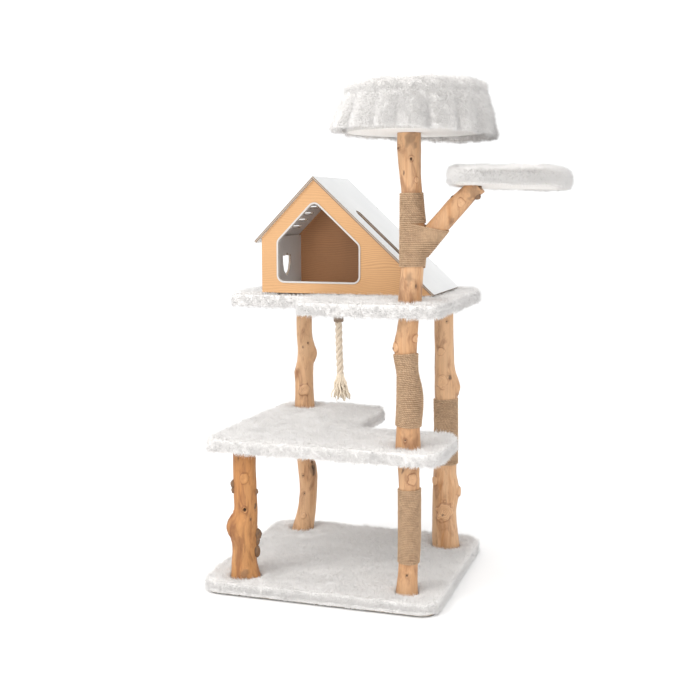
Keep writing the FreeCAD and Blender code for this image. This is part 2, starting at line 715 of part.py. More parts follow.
def make_left_roof():
    """The short slope, which overhangs the left wall and has four vents."""
    factor = (size("left_slope") * size("left_slope") + 1).root()
    length = (RIDGE_X - size("left_eave_x")) * factor
    gap = size("panel_thickness") * 1.02
    body = make_roof_panel("house_left_roof_blank", length, LEFT_LEAN, Rotation(Z_AXIS, 180))
    depth = size("house_depth") + ROOF_OVERHANG
    ridge = new_sketch(body, "ridge_edge")
    draw_outline(ridge, box_outline(0, gap, 0, depth))
    pocket(body, ridge, size("panel_thickness"))
    body.Placement.Base = body.Placement.Base + Vector(0, depth.number, 0)
    vent = new_sketch(body, "vent")
    start, front = size("panel_thickness") * 15.7, size("house_depth") * 0.185
    draw_outline(vent, box_outline(start, start + size("vent_width"), front, front + size("vent_length")))
    first = pocket(body, vent, size("panel_thickness"))
    pattern = body.newObject("PartDesign::LinearPattern", "vents")
    pattern.Originals = [first]
    pattern.Direction = (vent, ["H_Axis"])
    bind(pattern, "Length", size("vent_pitch") * 3)
    pattern.Occurrences = 4
    body.Tip = pattern
    DOC.recompute()
    return body


def countersunk_screw():
    """A wood screw along -Z with its flat head at the origin."""
    radius, head, length = number("screw_radius"), number("screw_head_radius"), number("screw_length")
    return revolve_profile([(0, 0), (head, 0), (radius, -(head - radius)),
                            (radius, radius - length), (0, -length)])


def roof_screw_places():
    """Two screws per slope into each end panel."""
    places = []
    rows = [number("house_front") + number("front_panel_thickness") / 2,
            HOUSE_BACK.number - number("front_panel_thickness") / 2]
    for x in (number("house_ridge_x") + 84, number("house_ridge_x") + 246):
        z = RIDGE_HEIGHT.number - (x - RIDGE_X.number) * number("right_slope")
        places += [Placement(Vector(x, y, z), Rotation(Y_AXIS, RIGHT_LEAN)) for y in rows]
    for x in (number("house_ridge_x") - 38, number("house_ridge_x") - 118):
        z = RIDGE_HEIGHT.number - (RIDGE_X.number - x) * number("left_slope")
        places += [Placement(Vector(x, y, z), Rotation(Y_AXIS, -LEFT_LEAN)) for y in rows]
    return places


def make_house():
    """The house stands on the upper board's plush, screwed down through its floor."""
    screws = copies("house_roof_screws", countersunk_screw(), roof_screw_places())
    front = cut_doorway(make_gable("house_front_panel_blank", size("house_front")))
    back = make_gable("house_back_panel_blank", HOUSE_BACK - size("front_panel_thickness"))
    floor_height = UPPER_TOP + size("house_floor_thickness")
    left = size("house_left") + size("panel_thickness")
    right = (under_right_roof(0) - floor_height) / size("right_slope")
    front_face = size("house_front") + size("front_panel_thickness")
    back_face = HOUSE_BACK - size("front_panel_thickness")
    floor = make_slab("house_floor_blank", box_outline(left, right, front_face, back_face),
                      UPPER_TOP, size("house_floor_thickness"), [2, 2, 2, 2])
    screw_rows = (number("house_front") + 40, HOUSE_BACK.number - 40)
    down = [Placement(Vector(x, y, UPPER_UNDERSIDE.number), Rotation(X_AXIS, 180))
            for x in (number("house_left") + 45, 120) for y in screw_rows]
    floor_screws = copies("house_floor_screws", revolve_profile(
        [(0, 0), (4, 0), (2, -2), (2, -number("board_thickness") - 16),
         (0, -number("board_thickness") - 18)]), down)
    panels = [
        cut("house_front_panel", front, [screws]),
        cut("house_back_panel", back, [screws]),
        cut("house_right_roof", make_right_roof(), [screws]),
        cut("house_left_roof", make_left_roof(), [screws]),
        cut("house_floor", floor, [floor_screws]),
    ]
    wall = make_side_wall()
    wall.Label = "house_left_wall"
    return panels + [wall, make_door_trim(), screws, floor_screws], floor_screws


HOUSE, FLOOR_SCREWS = make_house()


# ---------------------------------------------------------------- rope toy
def eye_centre():
    return Vector(number("rope_x"), number("rope_y"),
                  UPPER_UNDERSIDE.number - number("eye_radius") - number("eye_wire") - 1)


def ring_centre():
    """The ring hangs in the eye with a small clearance."""
    play = 0.4
    drop = number("eye_radius") + number("ring_radius") - number("eye_wire") - number("ring_wire") - play
    return eye_centre() - Z_AXIS * drop


def cap_eye_centre():
    play = 0.4
    drop = number("eye_radius") + number("ring_radius") - number("eye_wire") - number("ring_wire") - play
    return ring_centre() - Z_AXIS * drop


def eye_of_wire(centre):
    return Part.makeTorus(number("eye_radius"), number("eye_wire"), centre, Y_AXIS)


def rope_route():
    """The rope hangs from the cap and leans a little to the right as it goes down."""
    top = cap_bottom()
    return [top, top + Vector(0.6, 0.2, -45), top + Vector(2.0, 0.5, -90), top + Vector(4.2, 0.9, -135)]


def cap_bottom():
    return cap_eye_centre() - Z_AXIS * (number("eye_radius") + number("cap_height"))


def rounded_wire(points):
    """Straight runs joined by tangent arcs, each arc as large as its two runs allow."""
    share = 0.45
    edges, start = [], points[0]
    for before, corner, after in zip(points, points[1:], points[2:]):
        into, away = corner - before, after - corner
        reach = share * min(into.Length, away.Length)
        turn = into.getAngle(away)
        arc_start = corner - into.normalize() * reach
        arc_end = corner + away.normalize() * reach
        towards = (arc_start + arc_end) / 2 - corner
        radius = reach / math.tan(turn / 2)
        to_centre = math.hypot(radius, reach)
        bulge = corner + towards.normalize() * (to_centre - radius)
        edges.append(Part.LineSegment(start, arc_start).toShape())
        edges.append(Part.Arc(arc_start, bulge, arc_end).toShape())
        print(f"rope arc radius {radius:.0f}")
        start = arc_end
    edges.append(Part.LineSegment(start, points[-1]).toShape())
    return Part.Wire(edges)


def make_rope():
    path = rounded_wire(rope_route())
    start, along = path.Edges[0].valueAt(path.Edges[0].FirstParameter), rope_route()[1] - rope_route()[0]
    profile = Part.Wire(Part.makeCircle(number("rope_radius"), start, along))
    tube = path.makePipeShell([profile], True, True)
    section = math.pi * number("rope_radius") ** 2
    print(f"rope length {path.Length:.1f}, volume share {tube.Volume / section / path.Length:.4f}")
    return tube


def make_rope_toy():
    """Eye screw, split ring, cap, rope and frayed tassel, hung in a row."""
    centre = eye_centre()
    shank_top = UPPER_FLOOR.number - 1
    eye_top = centre.z + number("eye_radius")
    shank = Part.makeCylinder(1.5, shank_top - eye_top, Vector(centre.x, centre.y, eye_top))
    eye_screw = plain_feature("rope_eye_screw", eye_of_wire(centre).fuse(shank).removeSplitter())
    hoop = Part.makeTorus(number("ring_radius"), number("ring_wire"), ring_centre(), X_AXIS)
    ring = plain_feature("rope_ring", hoop)
    cap_top = cap_eye_centre() - Z_AXIS * number("eye_radius")
    barrel = Part.makeCylinder(number("cap_radius"), number("cap_height"), cap_bottom())
    barrel = barrel.makeFillet(1.5, [edge for edge in barrel.Edges if isinstance(edge.Curve, Part.Circle)])
    cap_eye = eye_of_wire(cap_top + Z_AXIS * number("eye_radius"))
    cap = plain_feature("rope_cap", cap_eye.fuse(barrel).removeSplitter())
    rope = plain_feature("rope", make_rope())
    end = rope_route()[-1]
    rope_radius, spread, length = number("rope_radius"), number("tassel_radius"), number("tassel_length")
    strands = revolve_profile([(0, 0), (rope_radius, 0), (rope_radius + 3, -0.18 * length),
                               (spread * 0.8, -0.5 * length), (spread, -0.85 * length),
                               (spread * 0.75, -length), (0, -length)])
    tassel = plain_feature("rope_tassel", strands, Placement(end, Rotation(Y_AXIS, -3)))
    return [eye_screw, ring, cap, rope, tassel], eye_screw


ROPE_TOY, EYE_SCREW = make_rope_toy()


def make_upper_platform():
    """The upper board, with a well in its plush where the rope's eye screw sits."""
    radii = [size("upper_corner")] * 5 + [size("inner_corner")]
    well = DOC.addObject("Part::Cylinder", "eye_well")
    bind(well, "Radius", 15)
    bind(well, "Height", size("cover_padding"))
    centre = eye_centre()
    well.Placement = Placement(Vector(centre.x, centre.y, number("upper_height")), Rotation())
    shank_hole = plain_feature("eye_shank_hole", Part.makeCylinder(
        1.5, number("board_thickness") - 1, Vector(centre.x, centre.y, UPPER_UNDERSIDE.number)))
    underneath = ("back_left_upper_post", "front_right_middle_post", "back_right_post")
    return make_platform(
        "upper", upper_outline, radii, size("upper_height"), UPPER_TOP, UPPER_UNDERSIDE,
        size("board_thickness"),
        [seat_for(name, True, number("cover_padding")) for name in underneath]
        + [seat_for("forked_post", False, number("cover_padding") + 1), well, FLOOR_SCREWS],
        [shank_hole, FLOOR_SCREWS])


UPPER_BOARD, UPPER_COVER = make_upper_platform()


# ---------------------------------------------------------------- nest
def make_nest():
    """A round bed: a board, a padded rim, a loose cushion and a flared skirt."""
    end = post_end("forked_post", True)
    middle = end + Vector(number("nest_shift_x"), number("nest_shift_y"), 0)
    place = Placement(Vector(middle.x, middle.y, number("nest_height")), Rotation())
    board_top = number("nest_board_thickness")
    rim, bore = number("nest_rim_radius"), number("nest_rim_bore")
    height, flare = number("nest_rim_height"), number("nest_skirt_flare")
    cloth, gather = number("nest_skirt_thickness"), board_top + number("nest_rim_height") - 34
    board_radius = number("nest_board_radius")
    disc = revolve_profile([(0, 0), (board_radius, 0), (board_radius, board_top), (0, board_top)])
    blank = plain_feature("nest_board_blank", disc, place)
    top = board_top + height
    wall = revolve_profile([(bore + 18, board_top), (board_radius, board_top), (rim, gather),
                            (rim + 2, top - 11), (rim - 9, top - 1), (rim - 28, top), (bore + 12, top - 4),
                            (bore, top - 20), (bore + 3, top - 40), (bore + 18, top - 55)])
    padded_rim = plain_feature("nest_rim", wall, place)
    lip = rim - 3
    skirt = revolve_profile([(lip, gather), (lip + cloth, gather), (lip + flare, 0),
                             (lip + flare - cloth, -8), (lip + flare - 2 * cloth, 0)])
    hanging = plain_feature("nest_skirt_blank", skirt, place)
    cushion = revolve_profile([(0, board_top), (bore + 10, board_top), (bore + 12, board_top + 12),
                               (bore + 4, board_top + number("nest_cushion_thickness") - 6),
                               (bore - 20, board_top + number("nest_cushion_thickness")),
                               (0, board_top + number("nest_cushion_thickness") - 4)])
    pad_blank = plain_feature("nest_cushion_blank", cushion, place)
    return [cut("nest_board", blank, [BOLTS]), padded_rim, cut("nest_skirt", hanging, [padded_rim]),
            cut("nest_cushion", pad_blank, [BOLTS, WASHERS])]


NEST = make_nest()


# ---------------------------------------------------------------- perch
def make_perch():
    """A small seat on the branch: a board in a plush cover, held by two screws."""
    place = Placement(Vector(number("perch_x"), number("perch_y"), number("perch_height")), PERCH_TURN)
    length, depth, corner = size("perch_length"), size("perch_depth"), size("perch_corner")
    inset = size("board_inset")
    board = make_slab("perch_board_blank", box_outline(-(length / 2 - inset), length / 2 - inset,
                                                       -(depth / 2 - inset), depth / 2 - inset),
                      0, size("perch_board_thickness"), [corner - inset] * 4)
    skin = make_slab("perch_cover_blank", box_outline(-(length / 2), length / 2, -(depth / 2), depth / 2),
                     0, size("perch_thickness"), [corner] * 4)
    soften(skin, [0, number("perch_thickness")], size("cover_rounding"))
    for body in (board, skin):
        for axis in "xyz":
            body.setExpression(f"Placement.Base.{axis}", None)
        body.Placement = place
    seat = RIGHT.number + BRANCH_TOP[0] - number("perch_x")
    screw = revolve_profile([(0, 0), (4, 0), (2, -2), (2, -26), (0, -30)])
    board_top = number("perch_board_thickness")
    spots = [place.multiply(Placement(Vector(seat + shift, -BRANCH_TOP[1], board_top), Rotation()))
             for shift in (-14, 4)]
    screws = copies("perch_screws", screw, spots)
    return [cut("perch_board", board, [screws]), cut("perch_cover", skin, [board]), screws]


PERCH = make_perch()


# ---------------------------------------------------------------- drilled posts and hand-over
def drill_posts():
    """The screws of the perch bite into the branch, and the branch's foot is one with its trunk."""
    screws = PERCH[2]
    return cut("forked_post_drilled", POSTS["forked_post"], [screws])


def named(item, label):
    """The object's Label is the sub-part's name."""
    item.Label = label
    return item


def check_document():
    for item in DOC.Objects:
        if "Invalid" in item.State or "Error" in item.State:
            raise RuntimeError(f"{item.Name} failed: {item.State}")


def write_parts(parts):
    os.makedirs("parts", exist_ok=True)
    for item in parts:
        shape = item.Shape
        if shape.isNull() or not shape.isValid() or shape.Volume < 1:
            raise RuntimeError(f"{item.Label} has no valid solid")
        shape.exportStep(f"parts/{item.Label}.step")
        box = shape.BoundBox
        print(f"{item.Label}: {len(shape.Solids)} solids, {shape.Volume / 1000:.1f} cm3, "
              f"z {box.ZMin:.1f} to {box.ZMax:.1f}")


FORKED_POST = drill_posts()
for blank_name, body in POSTS.items():
    if blank_name != "forked_post":
        named(body, blank_name)
named(POSTS["forked_post"], "forked_post_blank")
named(FORKED_POST, "forked_post")
PARTS = [BASE_LINER, BASE_BOARD, BASE_COVER, MIDDLE_BOARD, MIDDLE_COVER, UPPER_BOARD, UPPER_COVER,
         FORKED_POST]
PARTS += [body for name, body in POSTS.items() if name != "forked_post"]
PARTS += WRAPS + [BOLTS, WASHERS, STUDS, INSERTS] + HOUSE + NEST + PERCH + ROPE_TOY
DOC.recompute()
check_document()
write_parts(PARTS)
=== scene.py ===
"""Looks of the cat tree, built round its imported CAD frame.  Metres, +Z up."""
import itertools
import math

import bmesh
import bpy
import numpy as np
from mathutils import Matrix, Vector
from mathutils.kdtree import KDTree


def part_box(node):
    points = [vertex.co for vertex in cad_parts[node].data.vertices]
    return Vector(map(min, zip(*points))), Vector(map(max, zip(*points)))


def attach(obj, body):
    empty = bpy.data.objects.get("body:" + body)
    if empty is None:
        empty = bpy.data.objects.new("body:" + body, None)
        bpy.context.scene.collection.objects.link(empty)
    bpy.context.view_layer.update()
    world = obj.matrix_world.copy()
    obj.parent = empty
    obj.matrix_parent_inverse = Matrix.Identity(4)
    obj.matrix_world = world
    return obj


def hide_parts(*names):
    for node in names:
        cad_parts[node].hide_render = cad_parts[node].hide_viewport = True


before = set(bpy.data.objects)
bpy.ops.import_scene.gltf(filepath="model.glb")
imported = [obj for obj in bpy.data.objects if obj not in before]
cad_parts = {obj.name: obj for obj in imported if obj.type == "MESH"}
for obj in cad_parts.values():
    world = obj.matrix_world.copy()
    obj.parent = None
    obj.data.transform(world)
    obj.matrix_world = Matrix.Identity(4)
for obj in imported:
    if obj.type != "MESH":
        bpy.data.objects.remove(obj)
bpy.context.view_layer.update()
MM = 0.001
TAU = 2 * math.pi


# ---------------------------------------------------------------- camera, light and floor
CAMERA_PLACE = (0.8236, -2.5803, 0.934)
CAMERA_AZIMUTH = math.radians(17.64)
CAMERA_PITCH = math.radians(7.53)
SKY_STRENGTH = 1.14
LAMP_COLOUR = (1, 0.99, 0.975)


def make_camera():
    """The camera stands a little to the right of the front, just above the house, looking slightly down."""
    level = math.cos(CAMERA_PITCH)
    back = Vector((math.sin(CAMERA_AZIMUTH) * level, -math.cos(CAMERA_AZIMUTH) * level,
                   math.sin(CAMERA_PITCH)))
    data = bpy.data.cameras.new("camera")
    data.lens, data.sensor_width = 55.4, 36
    camera = bpy.data.objects.new("camera", data)
    camera.location = CAMERA_PLACE
    camera.rotation_mode = "QUATERNION"
    camera.rotation_quaternion = (-back).to_track_quat("-Z", "Y")
    bpy.context.scene.collection.objects.link(camera)
    bpy.context.scene.camera = camera


def add_area_light(name, place, target, size, power):
    data = bpy.data.lights.new(name, "AREA")
    data.shape, data.size, data.energy, data.color = "SQUARE", size, power, LAMP_COLOUR
    lamp = bpy.data.objects.new(name, data)
    lamp.location = place
    lamp.rotation_mode = "QUATERNION"
    lamp.rotation_quaternion = (Vector(target) - Vector(place)).to_track_quat("-Z", "Y")
    bpy.context.scene.collection.objects.link(lamp)


def make_studio():
    """A pale floor under an even white sky, with a large key light on the left and a soft fill in front."""
    scene = bpy.context.scene
    scene.view_settings.view_transform = "Standard"
    world = bpy.data.worlds.new("studio")
    world.use_nodes = True
    background = world.node_tree.nodes["Background"]
    background.inputs["Color"].default_value = (1, 1, 1, 1)
    background.inputs["Strength"].default_value = SKY_STRENGTH
    scene.world = world
    add_area_light("key", (-1.9, -2.4, 2.9), (0, 0, 0.6), 1.6, 52)
    add_area_light("fill", (0.9, -3.0, 1.5), (0, 0, 0.8), 2.0, 22)
    bpy.ops.mesh.primitive_plane_add(size=30)
    floor = bpy.context.object
    floor.name = "floor"
    paper = bpy.data.materials.new("floor_paper")
    paper.use_nodes = True
    shader = paper.node_tree.nodes["Principled BSDF"]
    shader.inputs["Base Color"].default_value = (0.955, 0.955, 0.955, 1)
    shader.inputs["Roughness"].default_value = 0.9
    floor.data.materials.append(paper)


make_camera()
make_studio()


# ---------------------------------------------------------------- meshes from arrays
def mesh_object(name, points, faces, smooth=True):
    """An object from an array of points and a list of arrays, each of faces with the same number of sides."""
    points = np.asarray(points, float).reshape(-1, 3)
    groups = [np.asarray(group, int) for group in faces if len(group)]
    mesh = bpy.data.meshes.new(name)
    mesh.vertices.add(len(points))
    mesh.vertices.foreach_set("co", points.ravel())
    corners = np.concatenate([group.ravel() for group in groups])
    sizes = np.concatenate([np.full(len(group), group.shape[1]) for group in groups])
    mesh.loops.add(len(corners))
    mesh.loops.foreach_set("vertex_index", corners)
    mesh.polygons.add(len(sizes))
    mesh.polygons.foreach_set("loop_start", np.concatenate([[0], np.cumsum(sizes)[:-1]]))
    mesh.update(calc_edges=True)
    mesh.polygons.foreach_set("use_smooth", np.full(len(sizes), smooth))
    made = bpy.data.objects.new(name, mesh)
    bpy.context.scene.collection.objects.link(made)
    return made


def tube_faces(rows, sides, closed_ends=True):
    """Quads of a tube of rings, one ring after another, and its two end fans."""
    ring = np.arange(sides)
    after = (ring + 1) % sides
    start = (np.arange(rows - 1) * sides)[:, None]
    quads = np.stack([start + ring, start + after, start + sides + after, start + sides + ring], -1)
    quads = quads.reshape(-1, 4)
    if not closed_ends:
        return [quads]
    foot, head = rows * sides, rows * sides + 1
    last = (rows - 1) * sides
    fans = np.concatenate([np.stack([after, ring, np.full(sides, foot)], -1),
                           np.stack([last + ring, last + after, np.full(sides, head)], -1)])
    return [quads, fans]


def set_colours(made, name, values):
    """A per-point colour attribute that the materials read."""
    layer = made.data.color_attributes.new(name, "FLOAT_COLOR", "POINT")
    colours = np.ones((len(made.data.vertices), 4))
    colours[:, :values.shape[1]] = values
    layer.data.foreach_set("color", colours.ravel())


def join_parts(name, parts):
    """One mesh from several (points, faces) parts."""
    points, faces, count = [], [], 0
    for own_points, own_faces in parts:
        points.append(own_points)
        faces += [group + count for group in own_faces]
        count += len(own_points)
    by_sides = {}
    for group in faces:
        by_sides.setdefault(group.shape[1], []).append(group)
    return mesh_object(name, np.concatenate(points), [np.concatenate(groups) for groups in by_sides.values()])


def value_noise(points, scale, seed=0):
    """Smooth noise at each point, from -1 to 1.  scale is one number, or one for each axis."""
    place = np.asarray(points, float) * scale + 17.3 * seed + 100
    cell = np.floor(place).astype(np.int64)
    part = place - cell
    part = part * part * (3 - 2 * part)
    total = np.zeros(len(place))
    for corner in itertools.product((0, 1), repeat=3):
        spot = cell + np.array(corner)
        mixed = (spot[:, 0] * 73856093) ^ (spot[:, 1] * 19349663) ^ (spot[:, 2] * 83492791)
        mixed = (mixed ^ (mixed >> 13)) * 1274126177 & 0xFFFFFFFF
        weight = np.prod(np.where(corner, part, 1 - part), axis=1)
        total += weight * (mixed / 0x7FFFFFFF - 1)
    return total


def noise_vectors(points, scale, seed=0):
    return np.stack([value_noise(points, scale, seed + index) for index in (0, 11, 23)], axis=1)


def smoothstep(low, high, values):
    share = np.clip((values - low) / (high - low), 0, 1)
    return share * share * (3 - 2 * share)


def unit(vectors):
    return vectors / np.maximum(np.linalg.norm(vectors, axis=-1, keepdims=True), 1e-12)


def smooth_path(stations, steps):
    """Catmull-Rom through stations (rows of numbers), at an even number of steps per gap."""
    stations = np.asarray(stations, float)
    padded = np.vstack([2 * stations[0] - stations[1], stations, 2 * stations[-1] - stations[-2]])
    share = np.linspace(0, 1, steps, endpoint=False)[:, None]
    rows = []
    for a, b, c, d in zip(padded, padded[1:], padded[2:], padded[3:]):
        rows.append(0.5 * (2 * b + (c - a) * share + (2 * a - 5 * b + 4 * c - d) * share ** 2
                           + (3 * b - a - 3 * c + d) * share ** 3))
    return np.vstack(rows + [stations[-1:]])


def sides_along(line):
    """Two steady side directions at each point of a line."""
    tangent = np.gradient(line, axis=0)
    tangent /= np.linalg.norm(tangent, axis=1)[:, None]
    side = np.cross(tangent, [0.31, 0.95, 0.05])
    side /= np.linalg.norm(side, axis=1)[:, None]
    return side, np.cross(tangent, side)


def ring_directions(angles, side, across):
    """For each row of side directions, the direction at each angle round it."""
    return np.cos(angles)[None, :, None] * side[:, None] + np.sin(angles)[None, :, None] * across[:, None]


def travelled(line):
    """The distance along a line to each of its points."""
    return np.concatenate([[0], np.cumsum(np.linalg.norm(np.diff(line, axis=0), axis=1))])


def read_at(spots, places, rows):
    """Rows of three numbers that are known at places, read at spots between them."""
    return np.stack([np.interp(spots, places, rows[:, axis]) for axis in range(3)], axis=1)


def vertex_arrays(mesh):
    """The places and the normals of a mesh's points."""
    arrays = []
    for field in ("co", "normal"):
        values = np.zeros(len(mesh.vertices) * 3)
        mesh.vertices.foreach_get(field, values)
        arrays.append(values.reshape(-1, 3))
    return arrays


def point_tree(points):
    """A tree that finds the nearest of the points."""
    tree = KDTree(len(points))
    for index, place in enumerate(points):
        tree.insert(place, index)
    tree.balance()
    return tree


# ---------------------------------------------------------------- materials
class Nodes:
    """A short way to write a node material."""

    def __init__(self, name):
        self.material = bpy.data.materials.new(name)
        self.material.use_nodes = True
        self.tree = self.material.node_tree
        self.shader = self.tree.nodes["Principled BSDF"]

    def add(self, kind, values=None, **settings):
        node = self.tree.nodes.new(kind)
        for key, value in settings.items():
            setattr(node, key, value)
        for key, value in (values or {}).items():
            self.put(node.inputs[key], value)
        return node

    def put(self, socket, value):
        if isinstance(value, bpy.types.NodeSocket):
            self.tree.links.new(value, socket)
        else:
            socket.default_value = value

    def set(self, **values):
        for key, value in values.items():
            self.put(self.shader.inputs[key.replace("_", " ")], value)

    def mapped(self, scale, turn=(0, 0, 0)):
        place = self.add("ShaderNodeTexCoord").outputs["Object"]
        node = self.add("ShaderNodeMapping", {"Vector": place, "Scale": scale, "Rotation": turn})
        return node.outputs["Vector"]

    def grain(self, scale, detail=3.0, roughness=0.55, distortion=0.0, turn=(0, 0, 0)):
        """Noise in the object's own space, with so many cells to a metre along each axis."""
        node = self.add("ShaderNodeTexNoise", {"Vector": self.mapped(scale, turn), "Scale": 1.0,
                                               "Detail": detail, "Roughness": roughness,
                                               "Distortion": distortion})
        return node.outputs["Fac"]

    def ramp(self, value, stops):
        node = self.add("ShaderNodeValToRGB", {"Fac": value})
        ramp = node.color_ramp
        while len(ramp.elements) < len(stops):
            ramp.elements.new(0.5)
        for element, (place, colour) in zip(ramp.elements, stops):
            element.position = place
            element.color = (*colour, 1)
        return node.outputs["Color"]

    def between(self, value, low, high, first=0.0, last=1.0):
        """A grey that goes from first to last as the value goes from low to high."""
        return self.ramp(value, [(low, grey(first)), (high, grey(last))])

    def mix(self, share, first, second, blend="MIX"):
        node = self.add("ShaderNodeMix", data_type="RGBA", blend_type=blend)
        self.put(node.inputs["Factor"], share)
        for index, value in ((6, first), (7, second)):
            self.put(node.inputs[index], (*value, 1) if isinstance(value, tuple) else value)
        return node.outputs[2]

    def math(self, operation, first, second=0.0, clamp=False):
        node = self.add("ShaderNodeMath", operation=operation, use_clamp=clamp)
        self.put(node.inputs[0], first)
        self.put(node.inputs[1], second)
        return node.outputs[0]

    def attribute(self, name):
        colour = self.add("ShaderNodeAttribute", attribute_name=name).outputs["Color"]
        return self.add("ShaderNodeSeparateColor", {"Color": colour}).outputs

    def bump(self, height, strength=0.3, distance=0.001):
        return self.add("ShaderNodeBump", {"Height": height, "Strength": strength,
                                           "Distance": distance}).outputs["Normal"]


def grey(value):
    return (value, value, value)


def scaled(colour, share):
    return tuple(share * channel for channel in colour)


def natural_wood(name, pale, warm, dark):
    """Peeled trunk: long pale and orange streaks, ringed knots, dark pits and scraps of bark.
    Attribute wood: red = nearness to a knot's middle, green = pit or scar, blue = bark."""
    n = Nodes(name)
    streaks = n.grain((26, 26, 2.4), 6, 0.62, 0.6)
    patches = n.grain((7, 7, 3.2), 3, 0.5, 0.4)
    fibre = n.grain((240, 240, 9), 4, 0.6)
    specks = n.grain((60, 60, 22), 5, 0.7)
    smears = n.grain((34, 34, 10), 5, 0.6, 1.2, turn=(0.1, 0.05, 0))
    base = n.ramp(streaks, [(0.3, warm), (0.46, pale), (0.6, scaled(pale, 0.96)), (0.74, warm)])
    base = n.mix(n.between(patches, 0.42, 0.68, 0, 0.62), base, warm)
    base = n.mix(n.between(smears, 0.5, 0.64, 0, 0.58), base, dark)
    base = n.mix(n.between(smears, 0.3, 0.42, 0.6, 0), base, scaled(pale, 1.08))
    base = n.mix(n.between(specks, 0.58, 0.74, 0, 0.6), base, dark)
    base = n.mix(0.32, base, n.between(fibre, 0.3, 0.7, 0.42, 1), "MULTIPLY")
    wood = n.attribute("wood")
    rings = n.math("MULTIPLY_ADD", n.math("SINE", n.math("MULTIPLY", wood[0], KNOT_RING_PHASE)), 0.5)
    disc = n.ramp(wood[0], [(0.08, grey(0)), (0.3, grey(0.55)), (1.0, grey(0.6))])
    base = n.mix(disc, base, n.mix(n.between(rings, 0.5, 1.0, 0, 0.6), scaled(pale, 1.1), dark))
    outline = n.ramp(wood[0], [(0.02, grey(0)), (0.1, grey(1)), (0.24, grey(0))])
    base = n.mix(n.math("MULTIPLY", outline, n.between(smears, 0.38, 0.6, 0.15, 0.85)), base, dark)
    base = n.mix(wood[1], base, (0.045, 0.022, 0.012))
    bark = n.ramp(n.grain((90, 90, 50), 5), [(0.35, (0.055, 0.03, 0.018)), (0.65, (0.2, 0.12, 0.07))])
    base = n.mix(wood[2], base, bark)
    height = n.math("ADD", n.math("MULTIPLY", streaks, 0.8), n.math("MULTIPLY", fibre, 0.5))
    n.set(Base_Color=base, Roughness=n.between(patches, 0.3, 0.7, 0.5, 0.66),
          Normal=n.bump(height, 0.5, 0.0012))
    return n.material


def veneer(name, light, mid, dark):
    """Flat-sawn oak, grain level: fine pores, and growth lines that run in long leaning arches."""
    n = Nodes(name)
    height = n.add("ShaderNodeSeparateXYZ", {"Vector": n.mapped((1, 1, 1))}).outputs["Z"]
    arches = n.grain((3.0, 1.0, 9.0), 2, 0.4)
    ripple = n.grain((14, 4, 60), 3, 0.6)
    phase = n.math("MULTIPLY", height, GROWTH_PHASE_PER_METRE)
    phase = n.math("ADD", phase, n.math("MULTIPLY", arches, ARCH_PHASE))
    phase = n.math("ADD", phase, n.math("MULTIPLY", ripple, RIPPLE_PHASE))
    lines = n.math("MULTIPLY_ADD", n.math("SINE", phase), 0.5)
    pores = n.grain((60, 60, 700), 4, 0.7)
    base = n.ramp(lines, [(0.0, light), (0.55, mid), (1.0, dark)])
    base = n.mix(n.between(arches, 0.35, 0.65, 0.35, 0.8), base, light)
    base = n.mix(n.between(pores, 0.5, 0.72, 0, 0.3), base, dark)
    n.set(Base_Color=base, Roughness=n.between(pores, 0.3, 0.7, 0.46, 0.56),
          Normal=n.bump(pores, 0.14, 0.0004))
    return n.material


def coated_panel(name, node, facing):
    """White laminate on the broad faces; a cut edge shows a pale core between two dark skins."""
    n = Nodes(name)
    facing = Vector(facing).normalized()
    depths = [vertex.co.dot(facing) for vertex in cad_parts[node].data.vertices]
    thickness = max(depths) - min(depths)

    def along_facing(vector):
        return n.add("ShaderNodeVectorMath", {0: vector, 1: facing}, operation="DOT_PRODUCT").outputs["Value"]

    square_on = along_facing(n.add("ShaderNodeNewGeometry").outputs["True Normal"])
    broad = n.math("GREATER_THAN", n.math("ABSOLUTE", square_on), 0.9)
    across = n.math("DIVIDE", n.math("SUBTRACT", along_facing(n.mapped((1, 1, 1))), min(depths)), thickness)
    fibres = n.grain((400, 400, 400), 4)
    skin = n.ramp(fibres, [(0.3, (0.1, 0.055, 0.03)), (0.7, (0.22, 0.135, 0.085))])
    core = n.ramp(fibres, [(0.3, (0.3, 0.235, 0.18)), (0.7, (0.46, 0.385, 0.31))])
    edge = n.mix(n.ramp(across, [(0.2, grey(0)), (0.3, grey(1)), (0.7, grey(1)), (0.8, grey(0))]), skin, core)
    haze = n.grain((9, 9, 9), 3)
    coat = n.ramp(haze, [(0.3, (0.7, 0.71, 0.712)), (0.7, (0.76, 0.765, 0.765))])
    n.set(Base_Color=n.mix(broad, edge, coat), Roughness=n.between(haze, 0.3, 0.7, 0.42, 0.5),
          Normal=n.bump(n.grain((700, 700, 700), 2), 0.08, 0.0002))
    return n.material


def plush_tones():
    """Four strand colours, brightest first: pile is a little different from strand to strand, and the same
    tones also paint light and shade on parts of the pile through grow_pile's shade offset.
    """
    made = []
    tones = ((0.99, 0.972, 0.955), (0.96, 0.942, 0.928), (0.9, 0.883, 0.87), (0.82, 0.804, 0.792))
    for index, tone in enumerate(tones):
        n = Nodes(f"plush_strand_{index}")
        n.set(Base_Color=(*tone, 1), Roughness=0.85, Sheen_Weight=0.35, Sheen_Roughness=0.5,
              Specular_IOR_Level=0.2)
        made.append(n.material)
    return made


